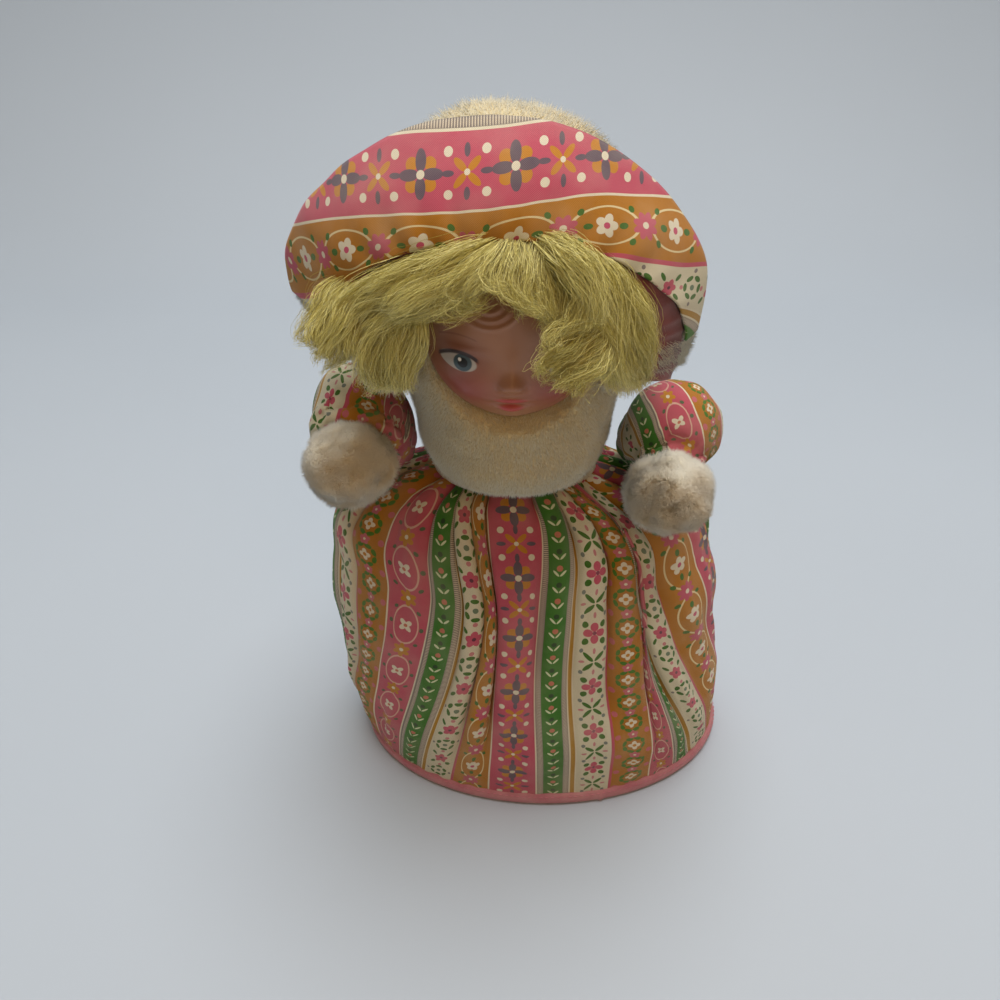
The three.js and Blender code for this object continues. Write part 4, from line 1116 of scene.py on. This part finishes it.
plush_piece(crown_piece, 4.5, 56000, (0, 0.5, -0.6), "head", ["hat_crown"],
            grown=lambda place: np.where(place[:, 1] < -48, 0.3, 1.0))

# %% Hat brim form
BRIM_MIDDLE = KNOB + [-8, 4, 74]
BRIM_ROWS = [  # turn in degrees, inner radius and its y, outer radius and its y
    (-10, 50, -58, 68, -46), (20, 51, -66, 73, -46), (55, 48, -67, 69, -42), (90, 46, -68, 68, -44),
    (125, 48, -67, 71, -42), (150, 51, -60, 76, -34), (172, 54, -44, 78, -19), (188, 57, -28, 75, -8),
]
BRIM_START, BRIM_END = BRIM_ROWS[0][0], BRIM_ROWS[-1][0]
BRIM_BOW = 4.0  # how far the brim bulges forwards between its edges


def brim_surface(degrees, across):
    inner, inner_y, outer, outer_y = np.moveaxis(smooth_table(BRIM_ROWS, degrees), -1, 0)
    reach = inner[:, None] + (outer - inner)[:, None] * across
    y = inner_y[:, None] + (outer_y - inner_y)[:, None] * across
    y = y - BRIM_BOW * 4 * across * (1 - across)
    turn = np.radians(degrees)[:, None]
    return np.stack([reach * np.cos(turn), y, reach * np.sin(turn)], -1) + BRIM_MIDDLE


def facing_front(ways):
    """Directions turned so that they point to the doll's front."""
    return ways * np.where(ways[..., 1].mean() > 0, -1.0, 1.0)


BRIM_ACROSS, BRIM_ALONG = 34, 200
brim_turns = np.linspace(BRIM_START, BRIM_END, BRIM_ALONG)
brim_across = np.linspace(0, 1, BRIM_ACROSS)[None, :]


# %% [markdown]
# ### Brim print
# The printed strip runs from side to side, so its stripes stay nearly level while the brim
# curves. Two tables say which part of the print is at the brim's inner and outer edges.

# %% Brim pieces
# turn in degrees, the print's inner limit as a share of the brim, which part of the print is there,
# and which part is at the outer edge
PRINT_EDGES = [
    (-10, 0.8, 39, 42), (0, 0.7, 46, 52), (10, 0.55, 54, 64), (25, 0.2, 68, 85), (44, -0.08, 76, 102),
    (62, -0.25, 82, 113.5), (89, -0.34, 88, 123), (116, -0.28, 87, 120.5), (134, -0.15, 83.5, 112.5),
    (152, 0, 78, 100), (170, 0, 71, 84), (188, 0, 64, 66),
]
FACING_START, FACING_END = 1, 176  # the turns between which the print is sewn on
PRINT_START = 10.2  # where the motifs are at the print's end, in millimetres along a stripe
facing_turns = np.linspace(FACING_START, FACING_END, BRIM_ALONG)
print_limit, print_inner, print_outer = smooth_table(PRINT_EDGES, facing_turns).T[..., None]
facing_across = print_limit + (1.03 - print_limit) * brim_across
print_across = print_inner + (print_outer - print_inner) * brim_across
facing = brim_surface(facing_turns, facing_across)
centre = BRIM_ACROSS // 2
run_along = lengths_along(facing, 0)[:, centre]
sideways = facing[..., 0] - facing[:, centre, :1]
stretch = np.clip(np.gradient(run_along) / np.abs(np.gradient(facing[:, centre, 0])), 1, 1.3)
print_along = (run_along[-1] - run_along + PRINT_START)[:, None] + sideways * stretch[:, None]
gathers = np.sin(np.radians(facing_turns) * 30)[:, None] * 0.5 * (1 - brim_across) ** 2
dents = ruffled(facing, 17, 2.4) * 1.3 + gathers
facing = facing + facing_front(normals_of(facing, False)) * dents[..., None]
facing_cloth = np.stack([print_across, print_along], -1)
facing_piece = piece_from_grid("brim_print_facing", facing, facing_cloth, turned=True)
thicken(facing_piece, 0.8)
dress(facing_piece, PRINT, "head", "print", "brim_facing")

# %% Brim plush
ROUNDED_FROM = 175  # the turn at which the end of the roll starts to be rounded
back_across = np.r_[-0.02, np.linspace(0, 1, 16), 1.05][None, :]
past_end = np.clip((brim_turns[::2, None] - ROUNDED_FROM) / (BRIM_END - ROUNDED_FROM), 0, 1)
narrow = np.sqrt(1.02 - past_end**2)
front_layer = brim_surface(brim_turns[::2], back_across * narrow)
layer_out = facing_front(normals_of(front_layer, False))
thick = 1.8 + 4.2 * np.sin(np.pi * np.clip(back_across, 0.02, 0.98)) ** 0.4 * narrow
behind = front_layer - layer_out * thick[..., None]
front = front_layer - layer_out * 1.6
loop = np.concatenate([front, behind[:, ::-1]], 1)
roll = np.concatenate([drawn_in(loop[:1]), loop, drawn_in(loop[-1:])])
brim_plush = tidy(piece_from_grid("brim_plush_pile", roll, wrap=True))


def brim_shown(place):
    """Pile on the back and the lip of the brim, not between the plush and the print."""
    local = place - BRIM_MIDDLE
    turn = np.degrees(np.arctan2(local[:, 2], local[:, 0]))
    turn = np.where(turn < -90, turn + 360, turn)
    inner, inner_y, outer, outer_y = np.moveaxis(smooth_table(BRIM_ROWS, turn), -1, 0)
    share = (np.hypot(local[:, 0], local[:, 2]) - inner) / (outer - inner)
    y = inner_y + (outer_y - inner_y) * share - BRIM_BOW * 4 * share * (1 - share)
    tufted = (turn < FACING_START) | (turn > FACING_END)
    return np.where((local[:, 1] > y + 3.8) | tufted, 1.0, 0.0)


plush_piece(brim_plush, 4.0, 50000, (0, 0.9, -0.2), "head", ["brim_plush"], grown=brim_shown)

# %% Hat lining
LINING_START, LINING_END = -14, 184
lining_turns = np.linspace(LINING_START, LINING_END, 250)
limit = smooth_table(PRINT_EDGES, lining_turns)[:, :1]
on_brim = np.linspace(0, 1, 12)[None, :]
over = brim_surface(lining_turns, limit + (np.minimum(limit, -0.05) - limit) * on_brim)
over += facing_front(normals_of(brim_surface(lining_turns, on_brim), False)) * -0.9
spoke = np.radians(lining_turns)[:, None, None]
inside = np.concatenate([47 * np.cos(spoke), np.full_like(spoke, -32.0), 52 * np.sin(spoke)], 2) + HAT_MIDDLE
deep = np.linspace(0, 1, 14)[None, 1:, None]
lining = np.concatenate([over, over[:, -1:] * (1 - deep) + inside * deep], 1)
tucks = np.abs(np.sin(spoke * 30 + 1.5 * np.sin(spoke * 9)))[..., 0] * 1.8 - 1.8
towards = BRIM_MIDDLE + (0, -60, 0) - lining
towards /= np.linalg.norm(towards, axis=2, keepdims=True)
lining += towards * (tucks * np.linspace(0.5, 1, lining.shape[1]))[..., None]
lining_piece = piece_from_grid("brim_lining_cloth", lining, turned=True)
thicken(lining_piece, 0.6)
dress(lining_piece, SHADED_LINING, "head", "lining", "hat_lining")

# %% [markdown]
# ## Curls
# The hair is mohair, set in locks. Each lock follows a guide line, which is placed where the
# photograph shows it, at a depth on the head. Geometry Nodes copy the guide into many strands,
# spread them, bring them together at the tip, and sweep a thin ribbon along each.


# %% Strand tree
def strand_tree():
    tree = bpy.data.node_groups.new("strands", "GeometryNodeTree")
    for name, kind in (("Guides", "NodeSocketGeometry"), ("Strands", "NodeSocketInt"),
                       ("Spread", "NodeSocketFloat"), ("Wave", "NodeSocketFloat"),
                       ("Width", "NodeSocketFloat"), ("Seed", "NodeSocketInt"),
                       ("Hair", "NodeSocketMaterial")):
        tree.interface.new_socket(name, in_out="INPUT", socket_type=kind)
    tree.interface.new_socket("Locks", in_out="OUTPUT", socket_type="NodeSocketGeometry")
    given = tree.nodes.new("NodeGroupInput").outputs
    copies = add(tree, "GeometryNodeDuplicateElements", {
        "Geometry": given["Guides"], "Amount": given["Strands"]}, domain="SPLINE")
    # each strand has its own offset, most of it in the middle of the lock, and a few stray far
    offset = add(tree, "FunctionNodeRandomValue", {
        "Min": (-1.0,) * 3, "Max": (1.0,) * 3, "Seed": given["Seed"]}, data_type="FLOAT_VECTOR")
    fixed = add(tree, "GeometryNodeFieldOnDomain", {0: offset}, domain="CURVE", data_type="FLOAT_VECTOR")
    factor = add(tree, "GeometryNodeSplineParameter").outputs["Factor"]
    half_turn = add(tree, MATH, {0: factor, 1: math.pi * 0.96}, operation="MULTIPLY")
    arch = add(tree, MATH, {0: half_turn}, operation="SINE")
    wide = add(tree, MATH, {0: arch, 1: 0.8, 2: 0.25}, operation="MULTIPLY_ADD")
    chance = add(tree, "FunctionNodeRandomValue", {2: 0.0, 3: 1.0, "Seed": 23}, data_type="FLOAT")
    seldom = add(tree, MATH, {0: chance.outputs[1], 1: 9.0}, operation="POWER")
    stray = add(tree, MATH, {0: seldom, 1: 1.6, 2: 1.0}, operation="MULTIPLY_ADD")
    each = add(tree, "GeometryNodeFieldOnDomain", {0: stray}, domain="CURVE", data_type="FLOAT")
    thrown = add(tree, MATH, {0: each, 1: given["Spread"]}, operation="MULTIPLY")
    reach = add(tree, MATH, {0: wide, 1: thrown}, operation="MULTIPLY")
    spread = add(tree, VECTOR, {0: fixed, "Scale": reach}, operation="SCALE")
    # a smooth noise bends the strands, and neighbours bend nearly alike
    apart = add(tree, VECTOR, {0: fixed, "Scale": 0.012}, operation="SCALE")
    where = add(tree, "GeometryNodeInputPosition")
    place = add(tree, VECTOR, {0: where, 1: apart}, operation="ADD")
    bends = add(tree, "ShaderNodeTexNoise", {"Vector": place, "Scale": 80.0, "Detail": 4.0, "Roughness": 0.7})
    centred = add(tree, VECTOR, {0: bends.outputs["Color"], 1: (0.5, 0.5, 0.5)}, operation="SUBTRACT")
    more_at_tip = add(tree, MATH, {0: given["Wave"], 1: factor}, operation="MULTIPLY")
    waved = add(tree, VECTOR, {0: centred, "Scale": more_at_tip}, operation="SCALE")
    total = add(tree, VECTOR, {0: spread, 1: waved}, operation="ADD")
    moved = add(tree, "GeometryNodeSetPosition", {"Geometry": copies, "Offset": total})
    # strands differ in length, tint and the way their flat side faces
    ends = add(tree, "FunctionNodeRandomValue", {2: 0.6, 3: 1.0, "Seed": 3}, data_type="FLOAT")
    end = add(tree, "GeometryNodeFieldOnDomain", {0: ends.outputs[1]}, domain="CURVE", data_type="FLOAT")
    cut = add(tree, "GeometryNodeTrimCurve", {"Curve": moved, 3: end}, mode="FACTOR")
    tint = add(tree, "FunctionNodeRandomValue", {2: 0.0, 3: 1.0, "Seed": 11}, data_type="FLOAT")
    marked = add(tree, "GeometryNodeStoreNamedAttribute", {
        "Geometry": cut, "Name": "tip", "Value": tint.outputs[1]}, domain="CURVE")
    spin = add(tree, "FunctionNodeRandomValue", {2: 0.0, 3: math.pi, "Seed": 17}, data_type="FLOAT")
    facing = add(tree, "GeometryNodeFieldOnDomain", {0: spin.outputs[1]}, domain="CURVE",
                 data_type="FLOAT")
    tilted = add(tree, "GeometryNodeSetCurveTilt", {"Curve": marked, "Tilt": facing})
    thin = add(tree, "ShaderNodeMapRange", {0: factor, 1: 0.0, 2: 1.0, 3: 1.0, 4: 0.35})
    flat = add(tree, "GeometryNodeCurvePrimitiveLine", {"Start": (-0.5, 0, 0), "End": (0.5, 0, 0)})
    scale = add(tree, MATH, {0: thin, 1: given["Width"]}, operation="MULTIPLY")
    ribbon = add(tree, "GeometryNodeCurveToMesh", {"Curve": tilted, "Profile Curve": flat, "Scale": scale})
    shown = add(tree, "GeometryNodeSetMaterial", {"Geometry": ribbon, "Material": given["Hair"]})
    add(tree, "NodeGroupOutput", {0: shown})
    return tree


LOCK_STEPS = 18
CURL = 2.6  # how far a lock winds round its line at the tip, in millimetres


def smooth_line(points):
    points = np.array(points, float)
    t = np.linspace(0, 1, len(points))
    return smooth_table(np.c_[t, points], np.linspace(0, 1, LOCK_STEPS))


def locks_between(first, last, count, loose, seed):
    """Guides between two drawn ones, each a little different."""
    chance = np.random.default_rng(seed)
    a, b = (smooth_line([seen_at(*p) for p in line]) for line in (first, last))
    lines = []
    for k in range(count):
        share = (k + 0.5) / count
        shift = chance.normal(0, loose, 3) * np.linspace(0.3, 1, LOCK_STEPS)[:, None]
        coil = chance.uniform(0, 2 * math.pi)
        coil = coil + np.linspace(0, 2 * math.pi * chance.uniform(1.2, 2.0), LOCK_STEPS)
        curl = np.stack([np.cos(coil), 0.8 * np.sin(coil), 0.4 * np.sin(coil + 1)], 1)
        shift = shift + curl * (CURL * np.linspace(0, 1, LOCK_STEPS) ** 0.8)[:, None]
        bulge = np.sin(np.linspace(0, math.pi, LOCK_STEPS))[:, None] * chance.normal(0, loose, 3)
        lines.append(a * (1 - share) + b * share + shift + bulge)
    return lines


# %% Where the locks lie
# Each group: the node it belongs to, its two outer guides and how many locks it has. A guide's points
# are a column and a row in the photograph's 1000 by 1000 pixels, and the depth y in millimetres.
LOCKS = [
    ("hair_fringe", [(508, 232, -60), (464, 248, -72), (420, 264, -75), (380, 286, -73), (348, 308, -66)],
     [(520, 234, -62), (484, 266, -77), (442, 290, -80), (407, 308, -77), (374, 322, -72)], 14),
    ("hair_fringe", [(500, 236, -64), (462, 262, -79), (434, 286, -82), (442, 306, -81), (474, 305, -79)],
     [(520, 238, -66), (497, 266, -83), (475, 286, -85), (474, 298, -83), (486, 294, -81)], 9),
    ("hair_fringe", [(440, 242, -58), (400, 272, -68), (366, 296, -68), (340, 318, -63), (322, 330, -56)],
     [(455, 262, -66), (420, 294, -75), (395, 310, -74), (372, 324, -70), (352, 336, -62)], 8),
    ("hair_right_side", [(364, 268, -46), (334, 290, -56), (318, 314, -63), (306, 332, -65), (297, 336, -62)],
     [(398, 278, -58), (370, 305, -67), (352, 335, -70), (342, 358, -69), (332, 366, -62)], 12),
    ("hair_right_side", [(396, 280, -62), (376, 315, -70), (366, 345, -71), (360, 368, -69), (350, 382, -62)],
     [(428, 296, -68), (424, 325, -73), (418, 352, -71), (410, 376, -67), (400, 388, -58)], 13),
    ("hair_front_curl", [(526, 236, -64), (552, 258, -81), (572, 288, -84), (566, 316, -86), (546, 328, -83)],
     [(544, 232, -62), (576, 258, -79), (594, 290, -82), (586, 322, -84), (560, 336, -85)], 8),
    ("hair_front_curl", [(508, 238, -66), (498, 262, -81), (500, 280, -84), (508, 292, -84), (517, 298, -82)],
     [(526, 238, -66), (526, 264, -82), (530, 284, -85), (535, 302, -85), (537, 314, -83)], 6),
    ("hair_front_curl", [(598, 316, -77), (576, 326, -84), (555, 339, -88), (542, 350, -88), (533, 360, -86)],
     [(614, 340, -75), (602, 360, -82), (586, 374, -85), (570, 383, -86), (556, 386, -83)], 10),
    ("hair_front_curl", [(534, 236, -62), (540, 262, -78), (546, 290, -82), (548, 312, -82), (545, 330, -80)],
     [(558, 236, -60), (568, 270, -77), (574, 300, -80), (568, 326, -82), (556, 338, -82)], 6),
    ("hair_left_side", [(560, 232, -58), (592, 268, -74), (606, 310, -78), (611, 352, -78), (615, 386, -72)],
     [(590, 240, -50), (630, 282, -60), (650, 322, -64), (654, 360, -63), (643, 388, -58)], 20),
]

# %% Curls as pieces
STRAND_TREE = strand_tree()
STRANDS = 5400  # in each of the four pieces
CORE_SIZE, CORE_BACK = 0.74, 6  # a smaller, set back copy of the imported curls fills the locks
for name in ("hair_fringe", "hair_right_side", "hair_front_curl", "hair_left_side"):
    guides = [line for k, (node, first, last, count) in enumerate(LOCKS) if node == name
              for line in locks_between(first, last, count, 1.5, 20 + k)]
    guide = curve_of(name + "_guides", guides)
    mesh = run_tree(guide, STRAND_TREE, {
        "Strands": STRANDS // len(guides), "Spread": 2.2 * MM, "Wave": 11 * MM, "Width": 0.2 * MM,
        "Seed": 4, "Hair": MOHAIR})
    bpy.data.objects.remove(guide)
    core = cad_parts[name].data.copy()
    form = bmesh.new()
    form.from_mesh(core)
    bmesh.ops.remove_doubles(form, verts=form.verts, dist=0.0001)
    middle = sum((v.co for v in form.verts), Vector()) / len(form.verts)
    for vertex in form.verts:
        vertex.co = middle + (vertex.co - middle) * CORE_SIZE + Vector((0, CORE_BACK, 0)) * MM
    form.from_mesh(mesh)
    form.to_mesh(core)
    form.free()
    core.shade_smooth()
    piece = bpy.data.objects.new(name + "_locks", core)
    bpy.context.scene.collection.objects.link(piece)
    dress(piece, MOHAIR, "head", "hair", name)

# %% [markdown]
# ## Arms
# Each arm is a puffed, stuffed sleeve with a plush mitt sewn on its front. The sleeve is found by
# walking out from its middle in every direction until the skin of a rounded cone is met, so its
# grid has its poles at the doll's sides. Its cloth is in two panels that meet in a seam all round:
# on each, a place is found by how far it is from the panel's middle, and in which direction. The
# cloth is then cut a little wide and blown up from inside for a moment, as stuffing does.

# %% Sleeve form
ARMS = {  # the shoulder, the middles of puff and mitt from there, the print's place, lean and direction
    "right": dict(at=(-78.98, 0, 180.17), puff=(-5.5, -10, 20), mitt=(-5.5, -41, 13),
                  first=162.0, lean=-0.29, face=1),
    "left": dict(at=(45.14, 0, 180.39), puff=(6.5, -10, 13), mitt=(0.5, -41, -1),
                 first=25.4, lean=0.4, face=-1),
}
SHOULDER_RADIUS, PUFF_RADIUS = 17.0, 24.0
PANEL_FRONT = np.array([0.0, -0.75, 0.66])  # the way that a sleeve's front panel faces
MITT_SIZE = np.array([16.5, 17, 14.5])
PRESSURE, SPARE_CLOTH, FARTHEST = 700.0, 0.06, 3.5
SETTLING_STEPS = 20


def pear_depth(points, a, b, ra, rb):
    """How far points are outside a rounded cone."""
    axis = b - a
    l2 = axis @ axis
    rr = ra - rb
    a2 = l2 - rr * rr
    pa = points - a
    y = pa @ axis
    z = y - l2
    x2 = ((pa * l2 - y[..., None] * axis) ** 2).sum(-1)
    y2, z2 = y * y * l2, z * z * l2
    k = np.sign(rr) * rr * rr * x2
    far = np.sqrt(x2 + z2) / l2 - rb
    near = np.sqrt(x2 + y2) / l2 - ra
    side = (np.sqrt(x2 * a2 / l2) + y * rr) / l2 - ra
    return np.where(np.sign(z) * a2 * z2 > k, far, np.where(np.sign(y) * a2 * y2 < k, near, side))


def stuffed(piece, held):
    """Lets cloth that is cut a little wide settle under the pressure of its stuffing."""
    flat = np.zeros(len(piece.data.vertices) * 3)
    piece.data.vertices.foreach_get("co", flat)
    before = flat.reshape(-1, 3).copy()
    group = piece.vertex_groups.new(name="held")
    group.add(np.flatnonzero(held(before / MM)).tolist(), 1.0, "REPLACE")
    cloth = piece.modifiers.new("cloth", "CLOTH")
    cloth.settings.quality = 5
    cloth.settings.mass = 0.05
    cloth.settings.air_damping = 5
    cloth.settings.use_pressure = True
    cloth.settings.uniform_pressure_force = PRESSURE
    cloth.settings.shrink_min = -SPARE_CLOTH
    cloth.settings.bending_stiffness = 0.3
    cloth.settings.vertex_group_mass = "held"
    cloth.settings.effector_weights.gravity = 0
    cloth.point_cache.frame_start, cloth.point_cache.frame_end = 1, SETTLING_STEPS
    for frame_number in range(1, SETTLING_STEPS + 1):
        bpy.context.scene.frame_set(frame_number)
    settled_mesh = piece.evaluated_get(bpy.context.evaluated_depsgraph_get()).data
    settled_mesh.vertices.foreach_get("co", flat)
    moved = flat.reshape(-1, 3) - before
    far = np.linalg.norm(moved, axis=1, keepdims=True)
    print(piece.name, "settled by up to", round(far.max() / MM, 2), "mm")
    moved *= np.minimum(1, FARTHEST * MM / np.maximum(far, 1e-9))
    piece.modifiers.remove(cloth)
    piece.vertex_groups.clear()
    piece.data.vertices.foreach_set("co", (before + moved).ravel())
    bpy.context.scene.frame_set(1)


def sleeve(side):
    """One arm's puffed sleeve, creased where the mitt is sewn on."""
    arm = ARMS[side]
    a = np.array(arm["at"], float)
    b, mitt = a + arm["puff"], a + arm["mitt"]
    lat = np.linspace(-math.pi / 2, math.pi / 2, 64)[:, None]
    lon = np.linspace(0, 2 * math.pi, 121)[None, :-1]
    ways = np.stack([np.sin(lat) + 0 * lon, -np.cos(lat) * np.cos(lon), -np.cos(lat) * np.sin(lon)], -1)
    reach = np.full(ways.shape[:2], 10.0)
    for _ in range(60):  # steps towards the cone's skin
        reach -= pear_depth(b + ways * reach[..., None], a, b, SHOULDER_RADIUS, PUFF_RADIUS)
    points = b + ways * reach[..., None]
    to_mitt = np.linalg.norm((points - mitt) / (MITT_SIZE * 1.02), axis=2)
    pull = np.clip(1.5 - to_mitt, 0, 1)
    around = np.arctan2(points[..., 2] - mitt[2], points[..., 0] - mitt[0])
    creases = np.sin(around * 13 + np.sin(around * 4)) * 1.1 * pull
    down = np.clip((a[2] + 6 - points[..., 2]) / 14, 0, 1)
    tucks = np.sin(np.arctan2(points[..., 1] - a[1], points[..., 0] - a[0]) * 12) * 0.9 * down
    points = points + ways * (creases + tucks + ruffled(points, 15, 1.7) * 1.3)[..., None]
    lean = arm["lean"]
    turned_back = np.arccos(np.clip(ways @ PANEL_FRONT, -1, 1))
    flat = np.stack([ways[..., 0], ways @ np.cross(PANEL_FRONT, (1, 0, 0))], -1)
    flat /= np.maximum(np.linalg.norm(flat, axis=2, keepdims=True), 0.001)
    flat *= (PUFF_RADIUS * np.minimum(turned_back, math.pi - turned_back))[..., None]
    across, along = np.moveaxis(np.concatenate([flat, flat[:, :1]], 1), -1, 0)
    cloth = np.stack([arm["first"] + arm["face"] * (across + lean * along), along - lean * across], -1)
    piece = piece_from_grid(side + "_sleeve_cloth", points, cloth, wrap=True, turned=True)
    tidy(piece)
    form = bmesh.new()
    form.from_mesh(piece.data)
    hidden = [v for v in form.verts if np.linalg.norm((np.array(v.co) / MM - mitt) / MITT_SIZE) < 0.86]
    bmesh.ops.delete(form, geom=hidden, context="VERTS")
    form.to_mesh(piece.data)
    form.free()
    stuffed(piece, lambda place: np.linalg.norm((place - mitt) / MITT_SIZE, axis=1) < 1.0)
    thicken(piece, 0.7)
    dress(piece, PRINT, side + "_arm", "print", side + "_sleeve", side + "_arm_stuffing")
    return piece


# %% Mitts
def mitten(side):
    """One arm's plush mitt, with the longest pile of all, painted paler as painted light."""
    arm = ARMS[side]
    middle = np.array(arm["at"]) + arm["mitt"]
    lat = np.linspace(-math.pi / 2, math.pi / 2, 48)[:, None]
    lon = np.linspace(0, 2 * math.pi, 65)[None, :-1]
    ways = np.stack([np.cos(lat) * np.cos(lon), np.cos(lat) * np.sin(lon), np.sin(lat) + 0 * lon], -1)
    points = middle + ways * (MITT_SIZE - 1.2)
    points = points + ways * (ruffled(points, 9, 4.4) * 2.2)[..., None]
    piece = tidy(piece_from_grid(side + "_mitt_pile", points, wrap=True))
    # the pale share makes the mitts' pile paler, as painted light
    return plush_piece(piece, 4.6, 36000, (0, -0.25, 0.1), side + "_arm", [side + "_mitt"],
                       ruffle=3.2, pale=0.8,
                       grown=lambda place: np.where(place[:, 1] > middle[1] + 12, 0.1, 1.0))


for side in ARMS:
    sleeve(side)
    mitten(side)

# %% [markdown]
# ## Floor and light
# A pale floor sweeps up into a backdrop, so no edge shows behind the doll. A large soft lamp hangs
# overhead, and a weaker, warmer one stands in front. Their strengths were set by comparing renders
# with the photograph.

# %% Floor and backdrop
FRONT_EDGE, BEND_START, BEND, TOP_EDGE, HALF_WIDTH = -1.2, 0.7, 0.5, 2.6, 2.2  # in metres
wall = BEND_START + BEND
sweep = [(y, 0.0) for y in np.linspace(FRONT_EDGE, BEND_START, 14)]
for turn in np.linspace(0.1, math.pi / 2, 14):
    sweep.append((BEND_START + BEND * math.sin(turn), BEND - BEND * math.cos(turn)))
sweep += [(wall, 1.6), (wall, TOP_EDGE)]
floor_columns = np.linspace(-HALF_WIDTH, HALF_WIDTH, 9)
floor_rows = np.array([[(x, y, z) for x in floor_columns] for y, z in sweep]) / MM
floor_piece = piece_from_grid("floor", floor_rows)
floor_piece.data.shade_smooth()
floor_piece.data.materials.append(FLOOR)


# %% Lights
def lamp(name, place, aim, size, power, tint="FFFFFF"):
    light = bpy.data.lights.new(name, "AREA")
    light.shape = "DISK"
    light.size = size
    light.energy = power
    light.color = linear(tint)[:3]
    holder = bpy.data.objects.new(name, light)
    holder.location = place
    holder.rotation_mode = "QUATERNION"
    holder.rotation_quaternion = (Vector(aim) - Vector(place)).to_track_quat("-Z", "Y")
    bpy.context.scene.collection.objects.link(holder)


lamp("overhead", (0.1, 0.0, 2.4), (0, 0, 0.1), 1.6, 53)
lamp("front", (0.3, -1.3, 1.0), (0, 0, 0.12), 1.2, 4.4, "FFC884")
world = bpy.data.worlds.new("room")
world.use_nodes = True
room = world.node_tree
seen = add(room, "ShaderNodeLightPath").outputs["Is Camera Ray"]
sky = blend_colour(room, seen, "EAE4D8", "AEB6BC")
strength = add(room, "ShaderNodeMapRange", {0: seen, 3: 0.24, 4: 1.0})
for made, socket in ((sky.outputs[2], "Color"), (strength.outputs[0], "Strength")):
    room.links.new(made, room.nodes["Background"].inputs[socket])
bpy.context.scene.world = world
bpy.context.scene.view_settings.view_transform = "Standard"
